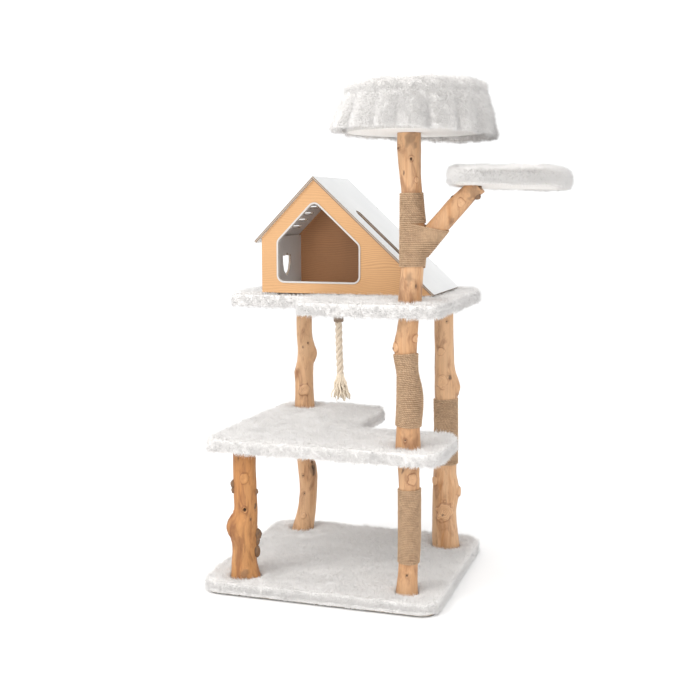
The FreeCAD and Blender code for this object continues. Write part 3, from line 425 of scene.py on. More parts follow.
def shaded_plush_ground():
    """The backing seen between the strands: a grey-white, darker than the strands as painted shade down
    between them, with shallow warm mottling.
    """
    n = Nodes("shaded_plush_ground")
    curl = n.grain((210, 210, 210), 4, 0.7)
    base = n.ramp(n.grain((16, 16, 16), 3),
                  [(0.3, (0.8, 0.782, 0.765)), (0.55, (0.85, 0.832, 0.818)), (0.75, (0.82, 0.805, 0.79))])
    base = n.mix(0.35, base, n.between(curl, 0.3, 0.7, 0.86, 1), "MULTIPLY")
    n.set(Base_Color=base, Roughness=0.95, Sheen_Weight=0.4, Specular_IOR_Level=0.15,
          Normal=n.bump(curl, 0.9, 0.003))
    return n.material


def sisal_cord():
    """Dry twisted leaf fibre: straw and brown threads that lean with the twist."""
    n = Nodes("sisal_cord")
    thread = n.grain((420, 420, 900), 4, 0.7)
    base = n.ramp(thread, [(0.25, (0.34, 0.2, 0.11)), (0.5, (0.71, 0.48, 0.3)), (0.78, (0.93, 0.72, 0.51))])
    base = n.mix(n.math("MULTIPLY", n.grain((24, 24, 60), 3), 0.4), base, (0.68, 0.47, 0.3))
    # Painted shade in the grooves between the plies and on the side against the trunk.
    base = n.mix(n.math("MULTIPLY", n.attribute("painted_shade")[0], 0.85), base, (0.12, 0.07, 0.04))
    n.set(Base_Color=base, Roughness=0.9, Specular_IOR_Level=0.25, Normal=n.bump(thread, 0.7, 0.0008))
    return n.material


def cotton(name, pale, shade):
    """Soft cotton yarn with fine fibres, with painted shade where two strands meet and inside the tassel's
    bundle.
    """
    n = Nodes(name)
    yarn = n.grain((500, 500, 260), 4, 0.65)
    base = n.ramp(yarn, [(0.28, shade), (0.62, pale)])
    # Painted shade, darkest where the attribute is highest.
    base = n.mix(n.math("MULTIPLY", n.attribute("painted_shade")[0], 0.8), base, scaled(shade, 0.45))
    n.set(Base_Color=base, Roughness=0.92, Sheen_Weight=0.25, Specular_IOR_Level=0.2,
          Normal=n.bump(yarn, 0.6, 0.0008))
    return n.material


def fleece(name, pale, shade):
    """Short brushed cloth: a fine knit under a soft nap."""
    n = Nodes(name)
    knit = n.add("ShaderNodeTexVoronoi", {"Vector": n.mapped((1, 1, 1)), "Scale": 520.0}).outputs["Distance"]
    nap = n.grain((130, 130, 130), 4, 0.7)
    base = n.mix(n.between(nap, 0.3, 0.7), shade, pale)
    base = n.mix(0.25, base, n.between(knit, 0.0, 0.6, 0.6, 1), "MULTIPLY")
    n.set(Base_Color=base, Roughness=0.95, Sheen_Weight=0.3, Specular_IOR_Level=0.15,
          Normal=n.bump(n.math("ADD", knit, nap), 0.5, 0.0008))
    return n.material


def plain_solid(name, first, second, roughness, metal=0.0, scale=60, bump=0.1):
    """A hard material with slight mottling and fine surface texture."""
    n = Nodes(name)
    fine = n.grain((scale * 12,) * 3, 3)
    n.set(Base_Color=n.ramp(n.grain((scale,) * 3, 4), [(0.3, first), (0.7, second)]), Metallic=metal,
          Roughness=n.between(fine, 0.3, 0.7, roughness - 0.06, roughness + 0.06),
          Normal=n.bump(fine, bump, 0.0003))
    return n.material


# Phases are in radians: of the rings from a knot's rim to its middle, and of the oak's growth lines.
KNOT_RING_PHASE = 38.0
GROWTH_PHASE_PER_METRE = 1250.0
ARCH_PHASE = 108.0
RIPPLE_PHASE = 3.0
TRUNK_PALE = (0.66, 0.4, 0.22)
TRUNK_WARM = (0.465, 0.215, 0.08)
TRUNK_DARK = (0.22, 0.085, 0.032)
LOG_LIGHT = natural_wood("peeled_wood_light", TRUNK_PALE, TRUNK_WARM, TRUNK_DARK)
LOG_ORANGE = natural_wood("peeled_wood_orange", (0.56, 0.275, 0.098), (0.425, 0.17, 0.047),
                          (0.2, 0.07, 0.022))
STRANDS = plush_tones()
SHADED_GROUND = shaded_plush_ground()
SISAL = sisal_cord()
ROPE_COTTON = cotton("rope_cotton", (0.72, 0.62, 0.5), (0.5, 0.4, 0.3))
TASSEL_COTTON = cotton("tassel_cotton", (0.96, 0.86, 0.71), (0.86, 0.72, 0.55))


# ---------------------------------------------------------------- putting pieces on the frame
def place_piece(piece, body, materials, replaced=()):
    piece.data.materials.clear()
    for material in materials:
        piece.data.materials.append(material)
    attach(piece, body)
    if replaced:
        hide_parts(*replaced)
    return piece


def toward_camera(lean):
    """A level direction: lean 0 faces the camera, -1 and 1 are the trunk's left and right outlines."""
    right = np.array([math.cos(CAMERA_AZIMUTH), math.sin(CAMERA_AZIMUTH), 0.0])
    front = np.array([math.sin(CAMERA_AZIMUTH), -math.cos(CAMERA_AZIMUTH), 0.0])
    lean = max(-1.0, min(1.0, lean))
    return lean * right + math.sqrt(1 - lean * lean) * front


# ---------------------------------------------------------------- rope toy
ROPE_EXIT = (-0.014, -0.040, 0.6518)
ROPE_ROUTE = [(-0.014, -0.040, 0.6518), (-0.0134, -0.0398, 0.6068), (-0.012, -0.0395, 0.5618),
              (-0.0098, -0.0391, 0.5168)]
STRAND_TURNS = 2.6
STRAND_RADIUS = 0.0049
STRAND_OFFSET = 0.0041
STRAND_SIDES = 24
TASSEL_LOCKS = 46
YARNS_PER_LOCK = 9
YARN_ROWS = 16
YARN_SIDES = 5
YARN_RADIUS = 0.00062


def route_line(points, count=160):
    """Points read along the route's own spline."""
    data = bpy.data.curves.new("route", "CURVE")
    data.dimensions = "3D"
    data.resolution_u = 40
    spline = data.splines.new("NURBS")
    spline.points.add(len(points) - 1)
    for knot, point in zip(spline.points, points):
        knot.co = (*point, 1)
    spline.order_u = 3
    spline.use_endpoint_u = True
    holder = bpy.data.objects.new("route", data)
    bpy.context.scene.collection.objects.link(holder)
    bpy.context.view_layer.update()
    mesh = bpy.data.meshes.new_from_object(holder)
    line = np.array([vertex.co for vertex in mesh.vertices], float)
    bpy.data.objects.remove(holder)
    far = travelled(line)
    return read_at(np.linspace(0, far[-1], count), far, line)


def sweep(line, radii, sides, ripple=None):
    """A closed tube along a line.  ripple(row shares, angles) scales the radius."""
    angles = np.linspace(0, TAU, sides, endpoint=False)
    share = np.linspace(0, 1, len(line))[:, None]
    radius = np.broadcast_to(np.asarray(radii, float).reshape(-1, 1), (len(line), 1)) * np.ones((1, sides))
    if ripple is not None:
        radius = radius * ripple(share, angles[None, :])
    points = line[:, None] + radius[:, :, None] * ring_directions(angles, *sides_along(line))
    points = np.concatenate([points.reshape(-1, 3), line[:1], line[-1:]])
    return points, tube_faces(len(line), sides)


def yarns(row, angle):
    """The ripple of small yarns round one strand of the rope."""
    return 1 + 0.05 * np.cos(6 * (angle - row * 30)) + 0.03 * np.sin(211 * row + 3 * angle)


def make_rope():
    """Three cotton strands laid round each other, each of small yarns."""
    line = route_line(ROPE_ROUTE)
    share = np.linspace(0, 1, len(line))
    side, across = sides_along(line)
    rows = np.concatenate([np.repeat(np.arange(len(line)), STRAND_SIDES), [0, len(line) - 1]])
    parts, crevice_shade = [], []
    for strand in range(3):
        turn = TAU * (share * STRAND_TURNS + strand / 3)
        centre = line + STRAND_OFFSET * (np.cos(turn)[:, None] * side + np.sin(turn)[:, None] * across)
        radii = STRAND_RADIUS * (1 + 0.04 * np.sin(37 * share + strand))
        points, faces = sweep(centre, radii, STRAND_SIDES, yarns)
        parts.append((points, faces))
        # Painted shade: darker towards the rope's middle line, in the crevices between the strands.
        crevice_shade.append(1 - smoothstep(0.0052, 0.0082, np.linalg.norm(points - line[rows], axis=1)))
    rope = join_parts("toy_rope", parts)
    set_colours(rope, "painted_shade", np.concatenate(crevice_shade)[:, None])
    place_piece(rope, "rope_toy", [ROPE_COTTON], ["rope"])
    return rope, line


def make_tassel(line):
    """The rope's end combed loose: wavy locks of fine yarn that spread, narrow and end unevenly."""
    rng = np.random.default_rng(41)
    low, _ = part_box("rope_tassel")
    top = line[-1] + np.array([0, 0, 0.005])
    drop = top[2] - low.z
    share = np.linspace(0, 1, YARN_ROWS)[:, None]
    parts, depths = [], []
    for _ in range(TASSEL_LOCKS):
        turn, spread = rng.uniform(0, TAU), math.sqrt(rng.uniform(0, 1))
        outward = np.array([math.cos(turn), math.sin(turn), 0.0])
        aim = unit(np.array([0.05, 0.0, -1.0]) + outward * 0.33 * spread ** 1.2)
        first = unit(np.cross(aim, [0.3, 0.9, 0.2]))
        second = np.cross(aim, first)
        phase, waves = rng.uniform(0, TAU), rng.uniform(1.5, 2.6)
        swing = rng.uniform(0.0012, 0.0028) * smoothstep(0.05, 0.4, share)
        lock = top + outward * spread * 0.006 + aim * share * drop * rng.uniform(0.78, 1.0)
        wave = phase + TAU * waves * share
        lock = lock + swing * (first * np.sin(wave) + second * np.cos(wave))
        for _ in range(YARNS_PER_LOCK):
            around, off = rng.uniform(0, TAU), 0.0022 * math.sqrt(rng.uniform(0, 1))
            turned = around + 2 * phase
            gather = off * (1 - 0.35 * share ** 2)
            yarn = lock + gather * (first * math.cos(turned) + second * math.sin(turned))
            keep = int(YARN_ROWS * rng.uniform(0.86, 1.0))
            radii = YARN_RADIUS * (1.0 - 0.5 * share[:keep, 0] ** 2)
            points, faces = sweep(yarn[:keep], radii, YARN_SIDES)
            parts.append((points, faces))
            # Painted shade: yarns of the inner locks are darker, with a little random tone on top.
            depths.append(np.full(len(points), 0.6 * (1 - spread) + rng.uniform(0, 0.15)))
    tassel = join_parts("toy_tassel", parts)
    set_colours(tassel, "painted_shade", np.concatenate(depths)[:, None])
    place_piece(tassel, "rope_toy", [TASSEL_COTTON], ["rope_tassel"])
    return tassel


rope, rope_line = make_rope()
tassel = make_tassel(rope_line)


# ---------------------------------------------------------------- trunks
# Each station: height, shift of the centre in x and y, and girth, in millimetres and shares of POST_RADIUS.
POST_RADIUS = 26 * MM
LEFT, RIGHT, FRONT = -202, 212, -206
TRUNKS = {
    "front_left_post": ((LEFT, FRONT), [
        (20, 0, 0, 1.46), (62, -4, 1, 1.22), (92, -3, 2, 1.15), (130, -3, 2, 1.24), (157, -5, 1, 1.33),
        (192, 3, -1, 1.09), (240, 2, -2, 1.09), (300, 0, 0, 1.07), (361, 0, 2, 1.06)]),
    "back_left_lower_post": ((LEFT, 210), [
        (20, -4, 0, 1.19), (68, 7, -2, 1.04), (105, 13, -3, 0.95), (150, 16, -2, 0.94), (200, 13, 1, 1.02),
        (245, 5, 2, 0.88), (305, 2, 1, 0.9), (361, 5, 0, 0.96)]),
    "back_left_upper_post": ((LEFT, 210), [
        (376, 5, 0, 1.08), (436, 4, 2, 0.97), (500, 6, 3, 0.9), (536, 11, 1, 0.96), (582, 7, -2, 0.83),
        (640, 6, -2, 0.8), (697, 6, 0, 0.81)]),
    "front_right_lower_post": ((RIGHT, FRONT), [
        (20, -3, 4, 1.04), (90, -1, 5, 0.88), (170, 2, 3, 0.9), (290, 1, 2, 0.93), (361, -3, 4, 1.0)]),
    "front_right_middle_post": ((RIGHT, FRONT), [
        (376, -3, 4, 1.14), (424, -3, 3, 1.04), (480, 1, 1, 1.08), (515, 0, 2, 1.04), (560, -6, 4, 0.87),
        (614, -11, 5, 1.03), (650, -7, 4, 0.94), (697, -2, 4, 0.88)]),
    "forked_post": ((RIGHT, FRONT), [
        (712, -2, 4, 1.04), (790, 3, 4, 1.01), (850, 6, 4, 1.1), (905, 4, 3, 1.02), (965, 1, 3, 0.9),
        (1010, -3, 4, 0.94), (1060, -6, 5, 1.03), (1100, -6, 5, 1.02)]),
    "back_right_post": ((RIGHT, 178), [
        (20, 7, 0, 1.44), (66, 3, 1, 1.33), (125, 0, 2, 1.25), (182, 4, 2, 1.36), (228, 1, 1, 1.2),
        (275, 3, -1, 1.13), (348, 3, -2, 1.1), (430, 1, -1, 1.12), (470, 1, 1, 1.18), (522, -4, 1, 1.01),
        (610, -6, 0, 0.97), (697, -8, -1, 0.95)]),
}
# Each station of the branch: shift in x and y from the post's line, height, and girth.
BRANCH = [(20, 4, 842, 0.98), (64, 4, 892, 0.85), (104, 5, 938, 0.86), (134, 5, 968, 0.78),
          (151, 5, 984, 0.86)]
# Each mark: height in mm, lean across the view (-1 left outline, 1 right), size in mm, kind, rise.
MARKS = {
    "front_left_post": [(283, 0.05, 9, "ring", 1.6), (207, 0.0, 6, "hole", 1.4),
                        (158, -0.97, 17, "bump", 2.7),
                        (330, -0.5, 5, "scar", 1), (182, 0.5, 4, "scar", 1), (40, 0.1, 12, "worn", 1)],
    "back_left_lower_post": [(208, 0.6, 11, "split", 1.4), (75, -0.2, 6, "ring", 1), (310, 0.3, 4, "scar", 1),
                             (140, -0.4, 3, "hole", 0.6), (190, -0.5, 4, "hole", 0.6)],
    "back_left_upper_post": [(434, 0.1, 13, "ring", 1.4), (564, 0.35, 4, "hole", 1),
                             (553, -0.3, 4, "scar", 1),
                             (533, 0.97, 13, "bump", 1.8), (474, -0.97, 11, "bump", 1.5),
                             (650, 0.1, 3, "hole", 0.7)],
    "front_right_lower_post": [(312, 0.3, 9, "ring", 1.2), (80, -0.15, 4, "hole", 0.8),
                               (330, -0.6, 5, "scar", 1)],
    "front_right_middle_post": [(617, -0.9, 9, "ring", 1.6), (638, 0.75, 8, "ring", 1.3),
                                (404, -0.3, 4, "hole", 0.7)],
    "forked_post": [(1066, -0.85, 5, "hole", 1.2), (1041, 0.1, 5, "hole", 1.3), (760, 0.4, 5, "scar", 1),
                    (1012, -0.6, 4, "scar", 1), (995, 0.5, 6, "ring", 1),
                    (1088, 0.2, 14, "worn", 1), (778, -0.3, 10, "worn", 1)],
    "back_right_post": [(482, -0.35, 12, "ring", 1.4), (493, 0.35, 6, "scar", 1),
                        (463, 0.97, 13, "bump", 2.2), (214, -0.85, 9, "ring", 1.8),
                        (181, 0.95, 10, "ring", 2.0), (133, -0.1, 19, "ring", 1.8),
                        (123, -0.2, 4, "scar", 1), (640, 0.2, 4, "hole", 0.7), (560, -0.4, 8, "ring", 1)],
}
# Each stub of a cut twig with its bark: height, lean across the view, size in mm.
STUBS = {"front_left_post": [(265, -0.97, 9), (250, -0.97, 7), (246, 0.97, 6), (137, 0.98, 13),
                             (121, 0.98, 10), (94, 0.98, 13)],
         "front_right_middle_post": [(614, -0.97, 5)],
         "back_left_lower_post": [(214, 0.75, 6)]}
# The same on the branch, with its shift in x from the post's line.
BRANCH_STUBS = [(97, 951, 8), (152, 962, 10), (152, 974, 12)]
# Each mark on the branch: shift in x, height, lean, size, kind, the branch's radius in metres, and rise.
BRANCH_MARKS = [(116, 945, -0.2, 7, "ring", 0.021, 1.0), (140, 968, 0.2, 16, "worn", 0.02, 0.5),
                (150, 978, -0.3, 12, "worn", 0.02, 0.5), (84, 905, 0.3, 9, "worn", 0.02, 0.5)]
HIDDEN_SIDE_MARKS = 5


def trunk_stations(node):
    (x, y), rows = TRUNKS[node]
    return [((x + dx) * MM, (y + dy) * MM, z * MM, girth * POST_RADIUS) for z, dx, dy, girth in rows]


def trunk_at(node, height):
    """Centre and radius of a trunk at a height."""
    rows = np.array(trunk_stations(node))
    return [float(np.interp(height, rows[:, 2], rows[:, column])) for column in (0, 1, 3)]


def hidden_side_marks(node, rng):
    """A few knots on the faces that the front view doesn't show."""
    rows = TRUNKS[node][1]
    low, high = rows[0][0] + 40, rows[-1][0] - 30
    for _ in range(HIDDEN_SIDE_MARKS):
        height = rng.uniform(low, high)
        turn = rng.uniform(math.radians(60), math.radians(170)) * rng.choice([-1, 1])
        size = rng.uniform(6, 12)
        yield height, turn, size, rng.choice(["ring", "scar", "bump", "scar"])


def apply_mark(points, normal, centre, facing, radius, height, size, kind, wood, rise=1.0):
    """Raises or sinks the bark round one mark, and paints its share of the wood attribute."""
    spot = np.array([centre[0], centre[1], height]) + facing * radius
    offset = points - spot
    along = offset[:, 2] / (1.25 if kind in ("ring", "hole") else 1.7)
    flat = offset - facing * (offset @ facing)[:, None]
    around = np.linalg.norm(flat[:, :2], axis=1)
    wobble = 1 + 0.3 * value_noise(points, 120, 5)
    distance = np.hypot(along, around) / (size * MM) * wobble
    same_side = (offset @ facing) > -radius * 0.9
    distance = np.where(same_side, distance, 9.0)

    def paint(channel, share):
        wood[:, channel] = np.maximum(wood[:, channel], share)

    if kind == "ring":
        lift = 2.6 * (1 - smoothstep(0.8, 1.35, distance)) - 1.1 * (1 - smoothstep(0.1, 0.7, distance))
        paint(0, np.clip(1 - distance / 1.3, 0, 1))
    elif kind == "hole":
        lift = 2.2 * (1 - smoothstep(0.9, 1.5, distance)) - 5.5 * (1 - smoothstep(0.3, 0.75, distance))
        paint(0, 0.5 * np.clip(1 - distance / 1.5, 0, 1))
        paint(1, 1 - smoothstep(0.4, 0.7, distance))
    elif kind == "split":
        crack = np.abs(around / (size * MM) + 0.25 * value_noise(points, 120, 8))
        dark = (1 - smoothstep(0.12, 0.3, crack)) * (1 - smoothstep(0.8, 1.3, distance))
        lift = 5.0 * np.exp(-distance ** 2 * 1.2) - 3.0 * dark
        paint(1, dark)
        paint(2, 0.6 * (1 - smoothstep(0.7, 1.1, distance)))
    elif kind == "bump":
        lift = 3.0 * np.exp(-distance ** 2)
        paint(0, 0.2 * np.exp(-distance ** 2))
    elif kind == "worn":
        lift = 1 - smoothstep(0.3, 1.1, distance + value_noise(points, 150, 3) * 0.5)
        paint(2, 0.5 * lift)
    else:
        scar = 1 - smoothstep(0.3, 0.8, distance + value_noise(points, 230, 4) * 0.5)
        lift = -0.9 * scar
        paint(1, 0.75 * scar)
    return normal * (lift * rise * MM)[:, None]


def log_surface(stations, seed, sides=80, steps=26):
    """Rings of points along a smooth trunk, swollen and fluted as grown wood is, and its faces."""
    rows = smooth_path(stations, steps)
    line, radii = rows[:, :3], rows[:, 3]
    angles = np.linspace(0, TAU, sides, endpoint=False)
    outward = ring_directions(angles, *sides_along(line)).reshape(-1, 3)
    points = np.repeat(line, sides, axis=0) + outward * np.repeat(radii, sides)[:, None]
    swell = 0.8 * value_noise(points, (34, 34, 22), seed) + 0.55 * value_noise(points, (75, 75, 12), seed + 1)
    swell += 0.28 * value_noise(points, (170, 170, 60), seed + 2)
    points = points + outward * (swell * MM)[:, None]
    return points, outward, line, tube_faces(len(line), sides)


def close_log(points, shift, line, faces, wood):
    """A marked log with the middle points of its two ends: its points, faces and wood attribute."""
    points = np.concatenate([points + shift, line[:1], line[-1:]])
    return points, faces, np.vstack([wood, np.zeros((2, 3))])


def twig_stub(middle, facing, size, seed):
    """The rough end of a twig that was sawn off, with its dark bark."""
    rows, sides = 9, 14
    polar = np.linspace(0.12, math.pi - 0.12, rows)[:, None]
    turn = np.linspace(0, TAU, sides, endpoint=False)[None, :]
    ball = np.stack([np.sin(polar) * np.cos(turn), np.sin(polar) * np.sin(turn),
                     np.broadcast_to(np.cos(polar), (rows, sides))], axis=-1).reshape(-1, 3)
    lumps = 1 + 0.22 * value_noise(ball, 2.2, seed) + 0.12 * value_noise(ball, 5, seed + 1)
    across = np.cross(facing, [0, 0, 1])
    shape = ball * lumps[:, None] * [0.75, 0.8, 1.15] * size * MM
    points = middle + shape[:, :1] * facing + shape[:, 1:2] * across + shape[:, 2:] * np.array([0, 0, 1.0])
    ends = np.stack([points[:sides].mean(0), points[-sides:].mean(0)])
    bark = np.tile([0.0, 0.0, 1.0], (len(points) + 2, 1))
    bark[:, 2] = np.append(0.75 + 0.25 * smoothstep(-0.2, 0.5, value_noise(ball, 3, seed)), [1, 1])
    return np.concatenate([points, ends]), tube_faces(rows, sides), bark


def make_log(node, seed):
    points, outward, line, faces = log_surface(trunk_stations(node), seed)
    wood = np.zeros((len(points), 3))
    shift = np.zeros_like(points)
    rng = np.random.default_rng(seed)
    spots = [(height, toward_camera(lean), *rest) for height, lean, *rest in MARKS[node]]
    front = toward_camera(0)
    for height, turn, size, kind in hidden_side_marks(node, rng):
        facing = np.array([front[0] * math.cos(turn) - front[1] * math.sin(turn),
                           front[0] * math.sin(turn) + front[1] * math.cos(turn), 0.0])
        spots.append((height, facing, size, kind, 1.0))
    for height, facing, size, kind, rise in spots:
        x, y, radius = trunk_at(node, height * MM)
        shift += apply_mark(points, outward, (x, y), facing, radius, height * MM, size, kind, wood, rise)
    return close_log(points, shift, line, faces, wood)


def branch_stations():
    return [((RIGHT + dx) * MM, (FRONT + dy) * MM, z * MM, girth * POST_RADIUS)
            for dx, dy, z, girth in BRANCH]


def make_branch(seed):
    points, outward, line, faces = log_surface(branch_stations(), seed, steps=30)
    wood = np.zeros((len(points), 3))
    shift = np.zeros_like(points)
    for dx, height, lean, size, kind, radius, rise in BRANCH_MARKS:
        shift += apply_mark(points, outward, ((RIGHT + dx) * MM, (FRONT + 5) * MM), toward_camera(lean),
                            radius, height * MM, size, kind, wood, rise)
    return close_log(points, shift, line, faces, wood)


def make_trunks():
    for seed, node in enumerate(TRUNKS):
        material = LOG_ORANGE if node == "front_left_post" else LOG_LIGHT
        parts = [make_log(node, seed * 3 + 1)]
        for index, (height, lean, size) in enumerate(STUBS.get(node, [])):
            x, y, radius = trunk_at(node, height * MM)
            facing = toward_camera(lean)
            middle = np.array([x, y, height * MM]) + facing * radius * 1.02
            parts.append(twig_stub(middle, facing, size, index + 3))
        if node == "forked_post":
            parts.append(make_branch(37))
            for index, (dx, height, size) in enumerate(BRANCH_STUBS):
                middle = np.array([(RIGHT + dx) * MM, (FRONT - 1) * MM, height * MM])
                parts.append(twig_stub(middle, toward_camera(0.3), size, index + 11))
        log = join_parts(node.replace("post", "trunk"), [(points, faces) for points, faces, _ in parts])
        set_colours(log, "wood", np.vstack([wood for _, _, wood in parts]))
        place_piece(log, "root", [material], [node])


make_trunks()


# ---------------------------------------------------------------- sisal wraps
CORD_PITCH = 4.25 * MM
CORD_RADIUS = 2.08 * MM
CORD_SEAT = CORD_RADIUS * 0.8
CORD_STEP = 1.3 * MM
PLY_PITCH = 7.5 * MM
LOOSE_THREADS = 520
# Heights in millimetres of each winding on one trunk, and its seed; and of the winding up the fork, with
# the height where the branch stands clear of the trunk and the height where the cord leaves the branch.
WOUND = {"front_right_lower": (105, 287, 61), "front_right_middle": (432, 603, 62),
         "back_right": (258, 436, 63)}
FORK_LOW, FORK_CROTCH, FORK_BRANCH_TOP, FORK_HIGH = 800, 822, 899, 966


def wound_post(node, low, high):
    """The line of a cord wound tightly up a trunk between two heights."""
    rows = smooth_path(trunk_stations(node), 40)
    far = travelled(rows[:, :3])
    start, end = np.interp([low * MM, high * MM], rows[:, 2], far) + [CORD_RADIUS, -CORD_RADIUS]
    spot = np.linspace(start, end, int((end - start) / CORD_PITCH * 120))
    centre, side, across = [read_at(spot, far, each) for each in (rows[:, :3], *sides_along(rows[:, :3]))]
    radius = np.interp(spot, far, rows[:, 3])
    angle = TAU * (spot - start) / CORD_PITCH
    outward = np.cos(angle)[:, None] * unit(side) + np.sin(angle)[:, None] * unit(across)
    return centre + outward * (radius + CORD_SEAT)[:, None], outward, unit(np.cross(side, across))


def fork_coil():
    """The line of the cord up the fork: each turn goes round the trunk, and round trunk and branch together
    from where they part up to where the cord leaves the branch, dipping a little towards the branch."""
    turns = (FORK_HIGH - FORK_LOW) * MM / CORD_PITCH
    turn = np.linspace(0, turns, int(turns * 150))
    height = FORK_LOW + (FORK_HIGH - FORK_LOW) * turn / turns
    cos, sin = np.cos(TAU * turn), np.sin(TAU * turn)
    trunk = np.array(trunk_stations("forked_post"))
    branch = np.array(branch_stations())
    x, y, radius = [np.interp(height * MM, trunk[:, 2], trunk[:, column]) for column in (0, 1, 3)]
    slope = (branch[1, 0] - branch[0, 0]) / (branch[1, 2] - branch[0, 2])
    radius = radius + CORD_SEAT
    dip = np.zeros_like(height)
    both = (height < FORK_BRANCH_TOP) & (height > FORK_CROTCH) & (cos > -0.1)
    for _ in range(4):
        level = height * MM - dip
        reach = np.maximum(branch[0, 0] + slope * (level - branch[0, 2]) - x, 0)
        thick = np.interp(level, branch[:, 2], branch[:, 3]) + CORD_SEAT
        wide = thick / math.cos(math.atan(slope)) * 0.96
        norm = np.sqrt((wide * cos) ** 2 + (thick * sin) ** 2)
        round_both = (reach * cos + norm > radius) & both
        local_x = np.where(round_both, reach + wide ** 2 * cos / norm, radius * cos)
        local_y = np.where(round_both, thick ** 2 * sin / norm, radius * sin)
        low_share = smoothstep(FORK_BRANCH_TOP - 45, FORK_BRANCH_TOP, height)
        dip = 0.2 * low_share * np.maximum(local_x, 0) * round_both
    line = np.stack([x + local_x, y + local_y, height * MM - dip], axis=1)
    outward = np.stack([cos, sin, np.zeros_like(cos)], axis=1)
    return line, outward, np.tile([0.0, 0.0, 1.0], (len(line), 1))


def wind_cord(line, outward, along, seed, sides=6):
    """A cord of two twisted plies laid along a winding's line."""
    far = travelled(line)
    spot = np.linspace(0, far[-1], max(2, int(far[-1] / CORD_STEP)))
    line, outward, along = [read_at(spot, far, rows) for rows in (line, outward, along)]
    outward, along = unit(outward), unit(along)
    line = line + along * (0.5 * MM * value_noise(line, 30, seed))[:, None] \
        + outward * (0.3 * MM * value_noise(line, 60, seed + 1))[:, None]
    section = np.linspace(0, TAU, sides, endpoint=False)
    twist = TAU * (np.arange(len(line)) * CORD_STEP) / PLY_PITCH
    grow = 1 + 0.22 * np.cos(2 * (section[None, :] - twist[:, None])) \
        + 0.08 * value_noise(line, 260, seed + 4)[:, None]
    points = line[:, None] + CORD_RADIUS * grow[:, :, None] * ring_directions(section, outward, along)
    # Painted shade: highest in the grooves between the two plies and on the side facing the trunk.
    crevice_shade = np.clip(1.1 - (grow - 0.78) * 2.4, 0, 1)
    crevice_shade = np.maximum(crevice_shade, smoothstep(0.4, 1.0, -np.cos(section))[None, :] * np.ones_like(grow))
    points = np.concatenate([points.reshape(-1, 3), line[:1], line[-1:]])
    crevice_shade = np.concatenate([crevice_shade.ravel(), [1, 1]])
    return points, tube_faces(len(line), sides), crevice_shade, line, outward


def spikes(root, aim, length, width):
    """Closed three-sided spikes: their points and faces."""
    side = unit(np.cross(aim, [0.37, 0.21, 0.9]))
    across = np.cross(aim, side)
    half = np.broadcast_to(np.asarray(width, float) / 2, len(root))[:, None]
    corners = [root + half * (math.cos(turn) * side + math.sin(turn) * across)
               for turn in (0, TAU / 3, 2 * TAU / 3)]
    points = np.stack(corners + [root + aim * np.asarray(length).reshape(-1, 1)], axis=1).reshape(-1, 3)
    base = (np.arange(len(root)) * 4)[:, None]
    faces = np.concatenate([base + np.array(face) for face in ((0, 1, 3), (1, 2, 3), (2, 0, 3), (0, 2, 1))])
    return points, [faces]


def loose_threads(line, outward, count, rng):
    """Short ends of fibre that stand out of the winding."""
    chosen = rng.integers(0, len(line), count)
    root = line[chosen] + outward[chosen] * CORD_SEAT
    forward = unit(np.gradient(line, axis=0))
    aim = outward[chosen] * rng.uniform(0.2, 0.9, (count, 1))
    aim = aim + forward[chosen] * rng.uniform(-1, 1, (count, 1))
    aim = unit(aim + rng.normal(0, 0.35, (count, 3)))
    return spikes(root, aim, rng.uniform(2.5, 6.5, count) * MM, 0.32 * MM)


def make_wrap(stem, winding, seed):
    points, faces, crevice_shade, line, outward = wind_cord(*winding, seed)
    thread_points, thread_faces = loose_threads(line, outward, LOOSE_THREADS, np.random.default_rng(seed))
    wrap = join_parts(stem + "_sisal", [(points, faces), (thread_points, thread_faces)])
    set_colours(wrap, "painted_shade", np.concatenate([crevice_shade, np.zeros(len(thread_points))])[:, None])
    place_piece(wrap, "root", [SISAL], [stem + "_wrap"])


for stem, (low, high, seed) in WOUND.items():
    make_wrap(stem, wound_post(stem + "_post", low, high), seed)
make_wrap("fork", fork_coil(), 64)


# ---------------------------------------------------------------- plush
PILE_LENGTH = 10.5 * MM
PILE_WIDTH = 1.25 * MM
STRANDS_PER_PIECE = 47000
POST_CLEARANCE = 1.5 * MM
SHELL_VOXEL = 5 * MM
TONE_STEPS = [-0.35, 0.1, 0.55]


def islands_of(bm):
    """The separate shells of a mesh, as lists of their vertices, the largest last."""
    islands, left = [], set(bm.verts)
    while left:
        stack, island = [left.pop()], []
        while stack:
            vertex = stack.pop()
            island.append(vertex)
            near = {edge.other_vert(vertex) for edge in vertex.link_edges} & left
            left -= near
            stack += near
        islands.append(island)

    def extent(island):
        places = np.array([vertex.co for vertex in island])
        return float(np.prod(places.max(0) - places.min(0)))

    return sorted(islands, key=extent)


def outer_shell(node):
    """The outside of a soft CAD solid, remeshed evenly, with no hollow in it."""
    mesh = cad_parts[node].data.copy()
    bm = bmesh.new()
    bm.from_mesh(mesh)
    bmesh.ops.remove_doubles(bm, verts=bm.verts, dist=1e-6)
    inner = [vertex for island in islands_of(bm)[:-1] for vertex in island]
    bmesh.ops.delete(bm, geom=inner, context="VERTS")
    bm.to_mesh(mesh)
    bm.free()
    shell = bpy.data.objects.new("shell", mesh)
    bpy.context.scene.collection.objects.link(shell)
    remesh = shell.modifiers.new("remesh", "REMESH")
    remesh.mode, remesh.voxel_size = "VOXEL", SHELL_VOXEL
    bpy.context.view_layer.update()
    evaluated = shell.evaluated_get(bpy.context.evaluated_depsgraph_get())
    result = bpy.data.meshes.new_from_object(evaluated)
    points, normals = vertex_arrays(result)
    faces = np.array([list(polygon.vertices) for polygon in result.polygons if len(polygon.vertices) == 4])
    bpy.data.objects.remove(shell)
    return points, normals, faces


